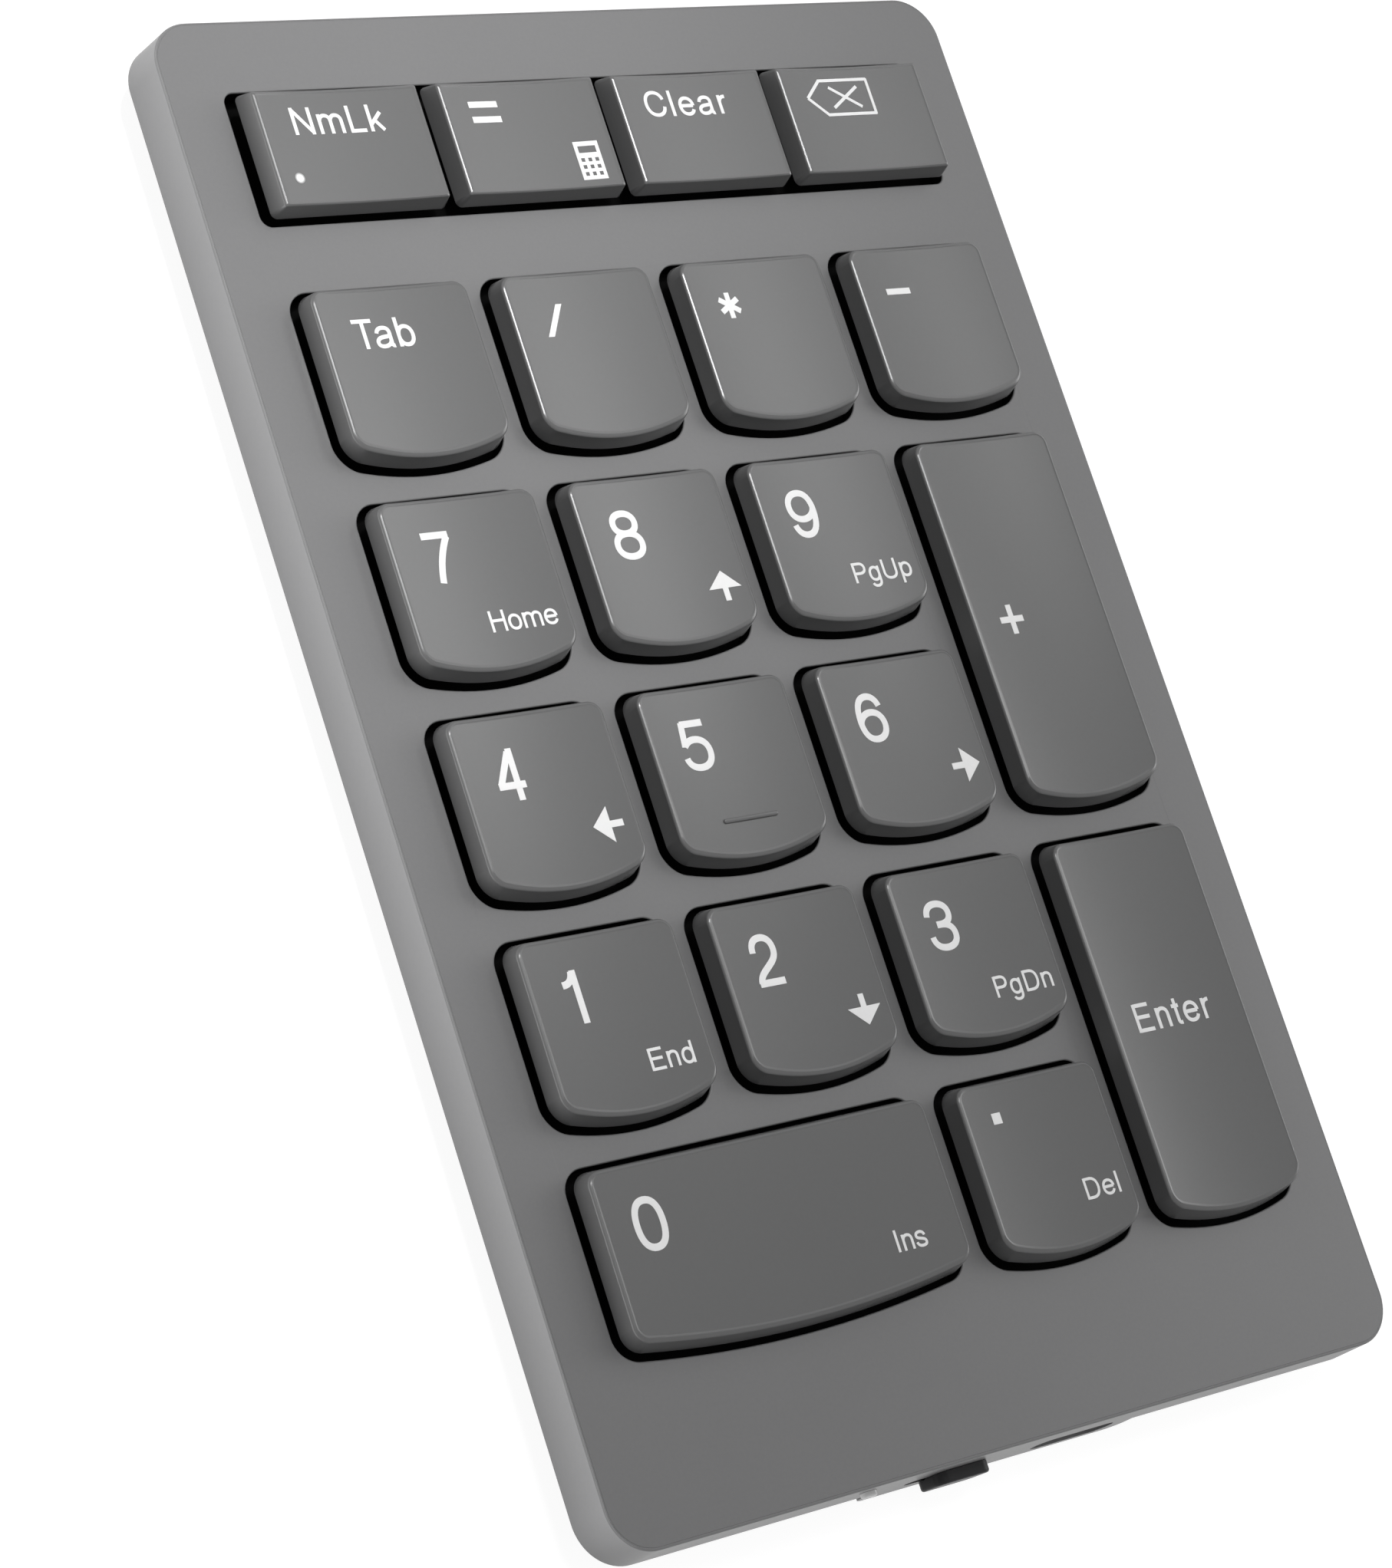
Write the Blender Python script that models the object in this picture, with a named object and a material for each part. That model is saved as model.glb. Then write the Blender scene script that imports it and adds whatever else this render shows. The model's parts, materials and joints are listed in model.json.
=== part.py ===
"""Slim wireless numeric keypad with scissor keys, modelled piece by piece.

Run with blender --background --python part.py, or from Blender's text editor.
Sizes are in metres and +Z is up. The keypad stands on z = 0 with its back edge towards +Y,
and the origin lies under the middle of its box. Depths are measured down from the deck.
"""
import math

import bmesh
import bpy

MM = 0.001

# Key field seen from above
COLUMNS = 4
ROWS = 5
WELL_SIZE = 17.0 * MM
WELL_WEB = 2.0 * MM
WELL_BULGE = 1.2 * MM
WELL_BACK_RADIUS = 2.0 * MM
WELL_FRONT_RADIUS = 3.0 * MM
FUNCTION_SLOT_DEPTH = 12.3 * MM
FUNCTION_SLOT_RADIUS = 1.0 * MM
FUNCTION_ROW_GAP = 6.1 * MM

# Deck round the key field
SIDE_MARGIN = 5.4 * MM
BACK_MARGIN = 6.65 * MM
FRONT_MARGIN = 13.2 * MM
CASE_CORNER_RADIUS = 4.0 * MM
CASE_EDGE_FILLET = 0.3 * MM
CASE_WALL = 1.4 * MM
CASE_DRAFT = 0.05
DECK_THICKNESS = 1.6 * MM

# Keycaps
KEY_CLEARANCE = 0.46 * MM
FUNCTION_KEY_GAP = 0.6 * MM
FUNCTION_KEY_RADIUS = 0.6 * MM
KEY_LIFT = 0.38 * MM
KEY_HEIGHT = 1.92 * MM
KEY_SHOULDER_HEIGHT = 1.4 * MM
KEY_SHOULDER_INSET = 0.42 * MM
KEY_LIP_INSET = 0.55 * MM
KEY_TOP_INSET = 0.78 * MM
KEY_LIP_DROP = 0.12 * MM
KEY_DISH = 0.25 * MM
KEY_WALL = 0.9 * MM
KEY_CAVITY = 0.82 * MM

# Layers under the keys
SEAT_GAP = 0.3 * MM
LAYER_GAP = 0.1 * MM
DOME_BASE_THICKNESS = 0.25 * MM
DOME_FOOT_RADIUS = 2.4 * MM
DOME_TOP_RADIUS = 1.3 * MM
MEMBRANE_THICKNESS = 0.25 * MM
MEMBRANE_TAIL_WIDTH = 8.0 * MM
BACKPLATE_THICKNESS = 0.4 * MM
LAYER_MARGIN = 1.5 * MM
LAYER_CORNER_RADIUS = 1.5 * MM

# Scissor lever pairs
SCISSOR_LENGTH = 8.2 * MM
SCISSOR_INNER_WIDTH = 8.0 * MM
SCISSOR_ARM = 0.9 * MM
SCISSOR_SIDE_GAP = 0.25 * MM
SCISSOR_THICKNESS = 0.6 * MM
SCISSOR_PIN = 0.5 * MM

# Bottom cover and feet
COVER_CLEARANCE = 0.25 * MM
COVER_RIM_THICKNESS = 1.2 * MM
COVER_RECESS = 0.15 * MM
COVER_FLOOR = 0.6 * MM
COVER_WALL = 1.2 * MM
BELLY_INSET = 8.0 * MM
BELLY_SLOPE = 1.6 * MM
BELLY_CORNER_RADIUS = 5.0 * MM
FOOT_LENGTH = 52.0 * MM
FOOT_WIDTH = 5.0 * MM
FOOT_THICKNESS = 0.7 * MM
FOOT_EDGE_INSET = 3.0 * MM

# Control board and battery
BOARD_WIDTH = 46.0 * MM
BOARD_THICKNESS = 1.0 * MM
BATTERY_WIDTH = 38.0 * MM
BATTERY_LENGTH = 52.0 * MM
BATTERY_THICKNESS = 2.3 * MM
BATTERY_ROUND = 0.6 * MM

# Apron of the front wall, which holds the switch and the socket
APRON_WIDTH = 29.2 * MM

# Socket
SOCKET_PLACE = 7.8 * MM
SOCKET_WIDTH = 8.94 * MM
SOCKET_HEIGHT = 3.16 * MM
SOCKET_LENGTH = 7.3 * MM
SOCKET_WALL = 0.3 * MM
SOCKET_BACK_WALL = 0.6 * MM
SOCKET_OPENING_CLEARANCE = 0.2 * MM
SOCKET_SETBACK = 0.35 * MM
TONGUE_WIDTH = 6.7 * MM
TONGUE_THICKNESS = 0.7 * MM
TONGUE_SETBACK = 1.2 * MM

# Slide switch
KNOB_PLACE = -5.45 * MM
KNOB_WIDTH = 6.4 * MM
KNOB_HEIGHT = 3.9 * MM
KNOB_REACH = 1.2 * MM
KNOB_CORNER_RADIUS = 1.0 * MM
KNOB_EDGE_ROUND = 0.25 * MM
KNOB_WALL_GAP = 0.15 * MM
KNOB_TRAVEL = 2.0 * MM
KNOB_NECK_WIDTH = 5.5 * MM
KNOB_NECK_HEIGHT = 0.8 * MM
KNOB_NECK_RADIUS = 0.3 * MM
KNOB_NECK_CLEARANCE = 0.25 * MM
SWITCH_BODY_DEPTH = 3.5 * MM
SWITCH_BODY_HEIGHT = 2.6 * MM
SWITCH_BODY_END = 1.0 * MM
SWITCH_GROOVE_DEPTH = 1.2 * MM

# Light window
LENS_PLACE = -16.2 * MM
LENS_WIDTH = 1.55 * MM
LENS_HEIGHT = 0.8 * MM
LENS_REACH = 0.55 * MM
LENS_CLEARANCE = 0.12 * MM
LENS_ROUND = 0.15 * MM

# Facets
CORNER_STEPS = 3
MIDDLE_STEPS = 4
CASE_CORNER_STEPS = 6
ROUND_END_STEPS = 6
DOME_SIDES = 10

# How far a cutter runs past what it cuts
CUT_PAST = 1.0 * MM

# Plan worked out from the sizes above
KEY_PITCH = WELL_SIZE + WELL_WEB
FIELD_WIDTH = COLUMNS * KEY_PITCH - WELL_WEB
FIELD_LENGTH = ROWS * KEY_PITCH - WELL_WEB
FUNCTION_PITCH = FIELD_WIDTH / COLUMNS
CASE_WIDTH = FIELD_WIDTH + 2 * SIDE_MARGIN
CASE_LENGTH = BACK_MARGIN + FUNCTION_SLOT_DEPTH + FUNCTION_ROW_GAP + FIELD_LENGTH + FRONT_MARGIN

# Depths below the deck worked out from the layers
DOME_BASE_TOP = DECK_THICKNESS + SEAT_GAP
MEMBRANE_TOP = DOME_BASE_TOP + DOME_BASE_THICKNESS + LAYER_GAP
BACKPLATE_TOP = MEMBRANE_TOP + MEMBRANE_THICKNESS + LAYER_GAP
RIM_TOP = BACKPLATE_TOP + BACKPLATE_THICKNESS + SEAT_GAP
RIM_BOTTOM = RIM_TOP + COVER_RIM_THICKNESS
SIDE_HEIGHT = RIM_BOTTOM + COVER_RECESS
BOARD_TOP = DECK_THICKNESS + SEAT_GAP
SOCKET_TOP = BOARD_TOP + BOARD_THICKNESS + SEAT_GAP
SOCKET_MIDDLE = SOCKET_TOP + SOCKET_HEIGHT / 2
FLOOR_TOP = SOCKET_TOP + SOCKET_HEIGHT + SEAT_GAP
CASE_DEPTH = FLOOR_TOP + COVER_FLOOR
DECK_Z = CASE_DEPTH + LAYER_GAP + FOOT_THICKNESS
KEY_CEILING = KEY_LIFT + KEY_CAVITY

# The knob stands out in front, so the deck's middle lies a little behind the box's middle
DECK_MIDDLE_Y = (KNOB_REACH - CASE_DRAFT * SIDE_HEIGHT) / 2
DECK_BACK_Y = DECK_MIDDLE_Y + CASE_LENGTH / 2
DECK_FRONT_Y = DECK_MIDDLE_Y - CASE_LENGTH / 2
WALL_INNER_Y = DECK_FRONT_Y + CASE_WALL
SLOT_BACK_Y = DECK_BACK_Y - BACK_MARGIN
FIELD_BACK_Y = SLOT_BACK_Y - FUNCTION_SLOT_DEPTH - FUNCTION_ROW_GAP
FIELD_FRONT_Y = FIELD_BACK_Y - FIELD_LENGTH
LAYER_BACK_Y = SLOT_BACK_Y + LAYER_MARGIN
LAYER_FRONT_Y = FIELD_FRONT_Y - LAYER_MARGIN
BOARD_FRONT_Y = WALL_INNER_Y + SEAT_GAP
BOARD_BACK_Y = LAYER_FRONT_Y - LAYER_MARGIN

# Grid keys: name, column, row, columns taken and rows taken
GRID_KEYS = (
    ("tab", 0, 0, 1, 1), ("divide", 1, 0, 1, 1), ("multiply", 2, 0, 1, 1), ("minus", 3, 0, 1, 1),
    ("seven", 0, 1, 1, 1), ("eight", 1, 1, 1, 1), ("nine", 2, 1, 1, 1), ("plus", 3, 1, 1, 2),
    ("four", 0, 2, 1, 1), ("five", 1, 2, 1, 1), ("six", 2, 2, 1, 1),
    ("one", 0, 3, 1, 1), ("two", 1, 3, 1, 1), ("three", 2, 3, 1, 1), ("enter", 3, 3, 1, 2),
    ("zero", 0, 4, 2, 1), ("point", 2, 4, 1, 1),
)
FUNCTION_KEYS = ("number_lock", "equals", "clear", "backspace")


def height(depth):
    """World z of a depth below the deck."""
    return DECK_Z - depth


def clear_scene():
    """Remove whatever the scene holds."""
    for thing in list(bpy.data.objects):
        bpy.data.objects.remove(thing, do_unlink=True)


def plastic(name, colour, roughness, metallic=0.0):
    """A plain Principled material."""
    material = bpy.data.materials.new(name)
    material.use_nodes = True
    shader = material.node_tree.nodes["Principled BSDF"]
    shader.inputs["Base Color"].default_value = (*colour, 1.0)
    shader.inputs["Roughness"].default_value = roughness
    shader.inputs["Metallic"].default_value = metallic
    return material


def add_object(name, mesh, material, location=(0.0, 0.0, 0.0)):
    """Put a mesh in the scene as a named piece."""
    piece = bpy.data.objects.new(name, mesh)
    piece.location = location
    bpy.context.scene.collection.objects.link(piece)
    if material is not None and not mesh.materials:
        mesh.materials.append(material)
    return piece


def add_cutter(name, mesh):
    """Put a helper solid in the scene, hidden from the finished model."""
    cutter = add_object(name, mesh, None)
    cutter.hide_render = True
    cutter.display_type = "WIRE"
    return cutter


def combine(piece, helper, operation):
    """Cut a piece by a helper solid, or join the helper to it."""
    modifier = piece.modifiers.new(helper.name, "BOOLEAN")
    modifier.operation = operation
    modifier.solver = "EXACT"
    modifier.object = helper


def finish_mesh(name, builder):
    """Turn a bmesh into a mesh whose faces point outwards."""
    bmesh.ops.recalc_face_normals(builder, faces=builder.faces)
    mesh = bpy.data.meshes.new(name)
    builder.to_mesh(mesh)
    builder.free()
    return mesh


def add_ring(builder, points):
    """Vertices of one closed outline."""
    return [builder.verts.new(point) for point in points]


def add_band(builder, ring_a, ring_b):
    """Quads between two rings with as many points."""
    count = len(ring_a)
    for index in range(count):
        after = (index + 1) % count
        builder.faces.new((ring_a[index], ring_a[after], ring_b[after], ring_b[index]))


def add_ladder(builder, ring):
    """Close a ring whose back half and front half match point by point."""
    half = len(ring) // 2
    for index in range(half - 1):
        builder.faces.new((ring[index], ring[index + 1], ring[-index - 2], ring[-index - 1]))


def loft(builder, outlines):
    """A closed solid through flat outlines of as many points, capped at both ends."""
    rings = [add_ring(builder, points) for points in outlines]
    for ring_a, ring_b in zip(rings, rings[1:]):
        add_band(builder, ring_a, ring_b)
    builder.faces.new(rings[0])
    builder.faces.new(rings[-1])


def loft_mesh(name, outlines):
    """The mesh of one lofted solid."""
    builder = bmesh.new()
    loft(builder, outlines)
    return finish_mesh(name, builder)


def lay_flat(outline, z):
    """An outline of x and y at one height."""
    return [(x, y, z) for x, y in outline]


def stand_up(outline, y):
    """An outline of x and z in one upright plane across the keypad."""
    return [(x, y, z) for x, z in outline]


def rectangle(x_low, x_high, y_low, y_high):
    """A plain rectangle."""
    return [(x_low, y_low), (x_high, y_low), (x_high, y_high), (x_low, y_high)]


def rounded_rectangle(x_low, x_high, y_low, y_high, radius, steps=CASE_CORNER_STEPS):
    """A rectangle with round corners."""
    centres = (
        (x_high - radius, y_high - radius), (x_low + radius, y_high - radius),
        (x_low + radius, y_low + radius), (x_high - radius, y_low + radius),
    )
    points = []
    for corner, (x, y) in enumerate(centres):
        for step in range(steps + 1):
            angle = math.pi / 2 * (corner + step / steps)
            points.append((x + radius * math.cos(angle), y + radius * math.sin(angle)))
    return points


def round_ended(x_middle, z_middle, width, tall):
    """A flat slot outline with half-round ends, in x and z."""
    radius = tall / 2
    reach = width / 2 - radius
    points = []
    for side in (1, -1):
        for step in range(ROUND_END_STEPS + 1):
            angle = math.pi * (step / ROUND_END_STEPS - 0.5)
            x = side * (reach + radius * math.cos(angle))
            z = side * radius * math.sin(angle)
            points.append((x_middle + x, z_middle + z))
    return points


def corner_drop(x, half_width, radius):
    """How far a rounded corner falls away from its edge at x."""
    along = max(0.0, abs(x) - (half_width - radius))
    return radius - math.sqrt(max(0.0, radius * radius - along * along))


def key_stations(half_width, radius):
    """Places across a key outline: close together round the corners and even between them."""
    flat = half_width - radius
    corner = [flat + radius * math.cos(math.pi / 2 * step / CORNER_STEPS) for step in range(CORNER_STEPS)]
    middle = [flat * (1 - 2 * step / MIDDLE_STEPS) for step in range(MIDDLE_STEPS + 1)]
    right_to_left = corner + middle + [-x for x in reversed(corner)]
    return list(reversed(right_to_left))


def key_outline(width, depth, bulge, back_radius, front_radius, inset=0.0):
    """Outline round a key's middle: straight at the back, bowed at the front.

    The back half runs left to right and the front half right to left, point for point.
    """
    half = width / 2 - inset
    back = depth / 2 - inset
    front = -depth / 2 + inset
    back_corner = max(back_radius - inset, FUNCTION_KEY_RADIUS / 2)
    front_corner = max(front_radius - inset, FUNCTION_KEY_RADIUS / 2)
    stations = key_stations(half, front_corner)
    back_points = [(x, back - corner_drop(x, half, back_corner)) for x in stations]
    front_points = [
        (x, front + bulge * (x / half) ** 2 + corner_drop(x, half, front_corner))
        for x in reversed(stations)
    ]
    return back_points + front_points


def grid_span(key):
    """Middle, width and depth of a grid key's well."""
    _, column, row, columns, rows = key
    width = columns * KEY_PITCH - WELL_WEB
    depth = rows * KEY_PITCH - WELL_WEB
    x = -FIELD_WIDTH / 2 + column * KEY_PITCH + width / 2
    y = FIELD_BACK_Y - row * KEY_PITCH - depth / 2
    return x, y, width, depth


def function_place(index):
    """Middle of a function key."""
    x = -FIELD_WIDTH / 2 + (index + 0.5) * FUNCTION_PITCH
    return x, SLOT_BACK_Y - FUNCTION_SLOT_DEPTH / 2


def key_places():
    """Every key: name, middle, the middles of its scissor pairs."""
    places = []
    for index, name in enumerate(FUNCTION_KEYS):
        x, y = function_place(index)
        places.append((name, x, y, [(x, y)]))
    for key in GRID_KEYS:
        name, _, _, columns, rows = key
        x, y, _, _ = grid_span(key)
        spread_x = KEY_PITCH / 2 * (columns - 1)
        spread_y = KEY_PITCH / 2 * (rows - 1)
        pairs = [(x, y)]
        if columns * rows > 1:
            pairs = [(x - spread_x, y + spread_y), (x + spread_x, y - spread_y)]
        places.append((name, x, y, pairs))
    return places


def case_outline(grow=0.0):
    """The deck's outline, grown outwards."""
    return rounded_rectangle(
        -CASE_WIDTH / 2 - grow, CASE_WIDTH / 2 + grow,
        DECK_FRONT_Y - grow, DECK_BACK_Y + grow, CASE_CORNER_RADIUS + grow)


def wells_mesh():
    """Cutter for the function row's slot and every key well."""
    top = height(-CUT_PAST)
    bottom = height(DECK_THICKNESS + SEAT_GAP)
    builder = bmesh.new()
    slot = rounded_rectangle(
        -FIELD_WIDTH / 2, FIELD_WIDTH / 2, SLOT_BACK_Y - FUNCTION_SLOT_DEPTH, SLOT_BACK_Y,
        FUNCTION_SLOT_RADIUS, CORNER_STEPS)
    loft(builder, [lay_flat(slot, bottom), lay_flat(slot, top)])
    for key in GRID_KEYS:
        x, y, width, depth = grid_span(key)
        outline = key_outline(width, depth, WELL_BULGE, WELL_BACK_RADIUS, WELL_FRONT_RADIUS)
        placed = [(x + px, y + py) for px, py in outline]
        loft(builder, [lay_flat(placed, bottom), lay_flat(placed, top)])
    return finish_mesh("wells", builder)


def skirt_cut_mesh():
    """Cutter that shortens the side wall everywhere but at the apron."""
    reach_x = CASE_WIDTH / 2 + CASE_WALL + CUT_PAST
    back = DECK_BACK_Y + CASE_WALL + CUT_PAST
    front = DECK_FRONT_Y - CASE_WALL - CUT_PAST
    behind_apron = WALL_INNER_Y + CUT_PAST
    half = APRON_WIDTH / 2
    outline = [
        (-reach_x, front), (-half, front), (-half, behind_apron), (half, behind_apron),
        (half, front), (reach_x, front), (reach_x, back), (-reach_x, back),
    ]
    return loft_mesh("skirt_cut", [
        lay_flat(outline, height(CASE_DEPTH + CUT_PAST)), lay_flat(outline, height(SIDE_HEIGHT))])


def front_openings_mesh():
    """Cutter for the socket, the switch slot and the light window in the front wall."""
    front = DECK_FRONT_Y - CASE_WALL - CUT_PAST
    back = WALL_INNER_Y + SEAT_GAP
    middle = height(SOCKET_MIDDLE)
    grow = 2 * SOCKET_OPENING_CLEARANCE
    slot_length = KNOB_NECK_WIDTH + KNOB_TRAVEL + 2 * KNOB_NECK_CLEARANCE
    slot_height = KNOB_NECK_HEIGHT + 2 * KNOB_NECK_CLEARANCE
    holes = (
        round_ended(SOCKET_PLACE, middle, SOCKET_WIDTH + grow, SOCKET_HEIGHT + grow),
        round_ended(KNOB_PLACE - KNOB_TRAVEL / 2, middle, slot_length, slot_height),
        round_ended(LENS_PLACE, height(lens_depth()), LENS_WIDTH + 2 * LENS_CLEARANCE,
                    LENS_HEIGHT + 2 * LENS_CLEARANCE),
    )
    builder = bmesh.new()
    for hole in holes:
        loft(builder, [stand_up(hole, front), stand_up(hole, back)])
    return finish_mesh("front_openings", builder)


def lens_depth():
    """Depth of the light window's middle, just under the deck."""
    return DECK_THICKNESS + LENS_CLEARANCE + LENS_HEIGHT / 2 + LAYER_GAP


def build_top_case(material):
    """Deck and side walls in one moulding, with the wells and front openings cut through."""
    slant = 1 - math.sqrt(0.5)
    mesh = loft_mesh("top_case", [
        lay_flat(case_outline(-CASE_EDGE_FILLET), height(0.0)),
        lay_flat(case_outline(-CASE_EDGE_FILLET * slant), height(CASE_EDGE_FILLET * slant)),
        lay_flat(case_outline(), height(CASE_EDGE_FILLET)),
        lay_flat(case_outline(CASE_DRAFT * CASE_DEPTH), height(CASE_DEPTH)),
    ])
    case = add_object("top_case", mesh, material)
    inside = case_outline(-CASE_WALL)
    cavity = loft_mesh("case_cavity", [
        lay_flat(inside, height(CASE_DEPTH + CUT_PAST)), lay_flat(inside, height(DECK_THICKNESS))])
    combine(case, add_cutter("skirt_cut", skirt_cut_mesh()), "DIFFERENCE")
    combine(case, add_cutter("case_cavity", cavity), "DIFFERENCE")
    combine(case, add_cutter("wells", wells_mesh()), "DIFFERENCE")
    combine(case, add_cutter("front_openings", front_openings_mesh()), "DIFFERENCE")


def keycap_mesh(name, width, depth, bulge, back_radius, front_radius):
    """A hollow cap: sloping skirt, rounded lip and a top dished from side to side."""
    def ring_at(inset, rise, dish):
        outline = key_outline(width, depth, bulge, back_radius, front_radius, inset)
        half = width / 2 - inset
        return [(x, y, rise - dish * (1 - (x / half) ** 2)) for x, y in outline]

    builder = bmesh.new()
    skirt = add_ring(builder, ring_at(0.0, 0.0, 0.0))
    shoulder = add_ring(builder, ring_at(KEY_SHOULDER_INSET, KEY_SHOULDER_HEIGHT, KEY_DISH / 2))
    lip = add_ring(builder, ring_at(KEY_LIP_INSET, KEY_HEIGHT - KEY_LIP_DROP, KEY_DISH))
    top = add_ring(builder, ring_at(KEY_TOP_INSET, KEY_HEIGHT, KEY_DISH))
    rim = add_ring(builder, ring_at(KEY_WALL, 0.0, 0.0))
    ceiling = add_ring(builder, ring_at(KEY_WALL, KEY_CAVITY, 0.0))
    for ring_a, ring_b in ((skirt, shoulder), (shoulder, lip), (lip, top), (skirt, rim), (rim, ceiling)):
        add_band(builder, ring_a, ring_b)
    add_ladder(builder, top)
    add_ladder(builder, ceiling)
    return finish_mesh(name, builder)


def build_keycaps(material):
    """All keycaps, each with its origin on its own line of travel."""
    base = height(-KEY_LIFT)
    for index, name in enumerate(FUNCTION_KEYS):
        x, y = function_place(index)
        mesh = keycap_mesh(
            f"key_{name}", FUNCTION_PITCH - FUNCTION_KEY_GAP, FUNCTION_SLOT_DEPTH - 2 * KEY_CLEARANCE,
            0.0, FUNCTION_KEY_RADIUS, FUNCTION_KEY_RADIUS)
        add_object(f"key_{name}", mesh, material, (x, y, base))
    for key in GRID_KEYS:
        x, y, width, depth = grid_span(key)
        mesh = keycap_mesh(
            f"key_{key[0]}", width - 2 * KEY_CLEARANCE, depth - 2 * KEY_CLEARANCE, WELL_BULGE,
            WELL_BACK_RADIUS - KEY_CLEARANCE, WELL_FRONT_RADIUS - KEY_CLEARANCE)
        add_object(f"key_{key[0]}", mesh, material, (x, y, base))


def lever_frame(builder, width, rise):
    """One lever: a rectangular frame that slopes from one end to the other."""
    half_length = SCISSOR_LENGTH / 2
    outer = rectangle(-width / 2, width / 2, -half_length, half_length)
    inner = rectangle(
        -width / 2 + SCISSOR_ARM, width / 2 - SCISSOR_ARM,
        -half_length + SCISSOR_ARM, half_length - SCISSOR_ARM)
    rings = []
    for outline in (outer, inner):
        for side in (-0.5, 0.5):
            lift = side * SCISSOR_THICKNESS
            rings.append(add_ring(builder, [(x, y, lift + rise * y / half_length) for x, y in outline]))
    outer_low, outer_high, inner_low, inner_high = rings
    add_band(builder, outer_low, outer_high)
    add_band(builder, outer_high, inner_high)
    add_band(builder, inner_high, inner_low)
    add_band(builder, inner_low, outer_low)


def scissor_mesh():
    """Two crossed levers held together at their pivot pins."""
    space = KEY_CEILING + DOME_BASE_TOP - 2 * SEAT_GAP
    rise = (space - SCISSOR_THICKNESS) / 2
    outer_width = SCISSOR_INNER_WIDTH + 2 * (SCISSOR_SIDE_GAP + SCISSOR_ARM)
    builder = bmesh.new()
    lever_frame(builder, SCISSOR_INNER_WIDTH, -rise)
    inner = finish_mesh("inner_lever", builder)
    builder = bmesh.new()
    lever_frame(builder, outer_width, rise)
    outer = finish_mesh("outer_lever", builder)
    builder = bmesh.new()
    pin_reach = SCISSOR_ARM / 2
    pin = rectangle(-SCISSOR_PIN / 2, SCISSOR_PIN / 2, -SCISSOR_PIN / 2, SCISSOR_PIN / 2)
    for side in (-1, 1):
        ends = (
            side * (SCISSOR_INNER_WIDTH / 2 - pin_reach),
            side * (SCISSOR_INNER_WIDTH / 2 + SCISSOR_SIDE_GAP + pin_reach),
        )
        loft(builder, [[(x, y, z) for y, z in pin] for x in ends])
    pins = finish_mesh("pivot_pins", builder)
    pair = add_cutter("scissor_pattern", inner)
    combine(pair, add_cutter("outer_lever", outer), "UNION")
    combine(pair, add_cutter("pivot_pins", pins), "UNION")
    bpy.context.view_layer.update()
    evaluated = pair.evaluated_get(bpy.context.evaluated_depsgraph_get())
    return bpy.data.meshes.new_from_object(evaluated)


def build_scissors(material):
    """A lever pair under each key, two under a double key."""
    mesh = scissor_mesh()
    middle = height((DOME_BASE_TOP - KEY_CEILING) / 2)
    for name, _, _, pairs in key_places():
        for index, (x, y) in enumerate(pairs):
            label = f"scissor_{name}" if len(pairs) == 1 else f"scissor_{name}_{'ab'[index]}"
            add_object(label, mesh, material, (x, y, middle))


def layer_outline(inset=0.0):
    """Outline of the sheets under the keys."""
    return rounded_rectangle(
        -FIELD_WIDTH / 2 - LAYER_MARGIN + inset, FIELD_WIDTH / 2 + LAYER_MARGIN - inset,
        LAYER_FRONT_Y + inset, LAYER_BACK_Y - inset, LAYER_CORNER_RADIUS, CORNER_STEPS)


def build_dome_sheet(material):
    """One rubber sheet with a dome under each key's middle."""
    base = layer_outline()
    mesh = loft_mesh("dome_sheet", [
        lay_flat(base, height(DOME_BASE_TOP + DOME_BASE_THICKNESS)), lay_flat(base, height(DOME_BASE_TOP))])
    sheet = add_object("dome_sheet", mesh, material)
    low = height(DOME_BASE_TOP + DOME_BASE_THICKNESS / 2)
    high = height(SEAT_GAP - KEY_CEILING)
    builder = bmesh.new()
    for _, x, y, _ in key_places():
        rings = []
        for radius, z in ((DOME_FOOT_RADIUS, low), (DOME_TOP_RADIUS, high)):
            turns = [2 * math.pi * side / DOME_SIDES for side in range(DOME_SIDES)]
            rings.append([(x + radius * math.cos(turn), y + radius * math.sin(turn), z) for turn in turns])
        loft(builder, rings)
    combine(sheet, add_cutter("domes", finish_mesh("domes", builder)), "UNION")


def build_membrane(material):
    """Printed switching sheet with its tail towards the control board."""
    outline = layer_outline(LAYER_GAP)
    low = height(MEMBRANE_TOP + MEMBRANE_THICKNESS)
    high = height(MEMBRANE_TOP)
    sheet = add_object("membrane", loft_mesh("membrane", [lay_flat(outline, low), lay_flat(outline, high)]),
                       material)
    half = MEMBRANE_TAIL_WIDTH / 2
    tail = rectangle(-half, half, BOARD_BACK_Y + SEAT_GAP, LAYER_FRONT_Y + LAYER_MARGIN)
    tail_mesh = loft_mesh("membrane_tail", [lay_flat(tail, low), lay_flat(tail, high)])
    combine(sheet, add_cutter("membrane_tail", tail_mesh), "UNION")


def build_backplate(material):
    """Steel plate that stiffens the key field."""
    outline = layer_outline()
    mesh = loft_mesh("backplate", [
        lay_flat(outline, height(BACKPLATE_TOP + BACKPLATE_THICKNESS)),
        lay_flat(outline, height(BACKPLATE_TOP))])
    add_object("backplate", mesh, material)


def belly_outline(inset):
    """Outline of the cover's belly, set in from the case."""
    edge = BELLY_INSET + inset
    return rounded_rectangle(
        -CASE_WIDTH / 2 + edge, CASE_WIDTH / 2 - edge, DECK_FRONT_Y + edge, DECK_BACK_Y - edge,
        BELLY_CORNER_RADIUS)


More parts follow.
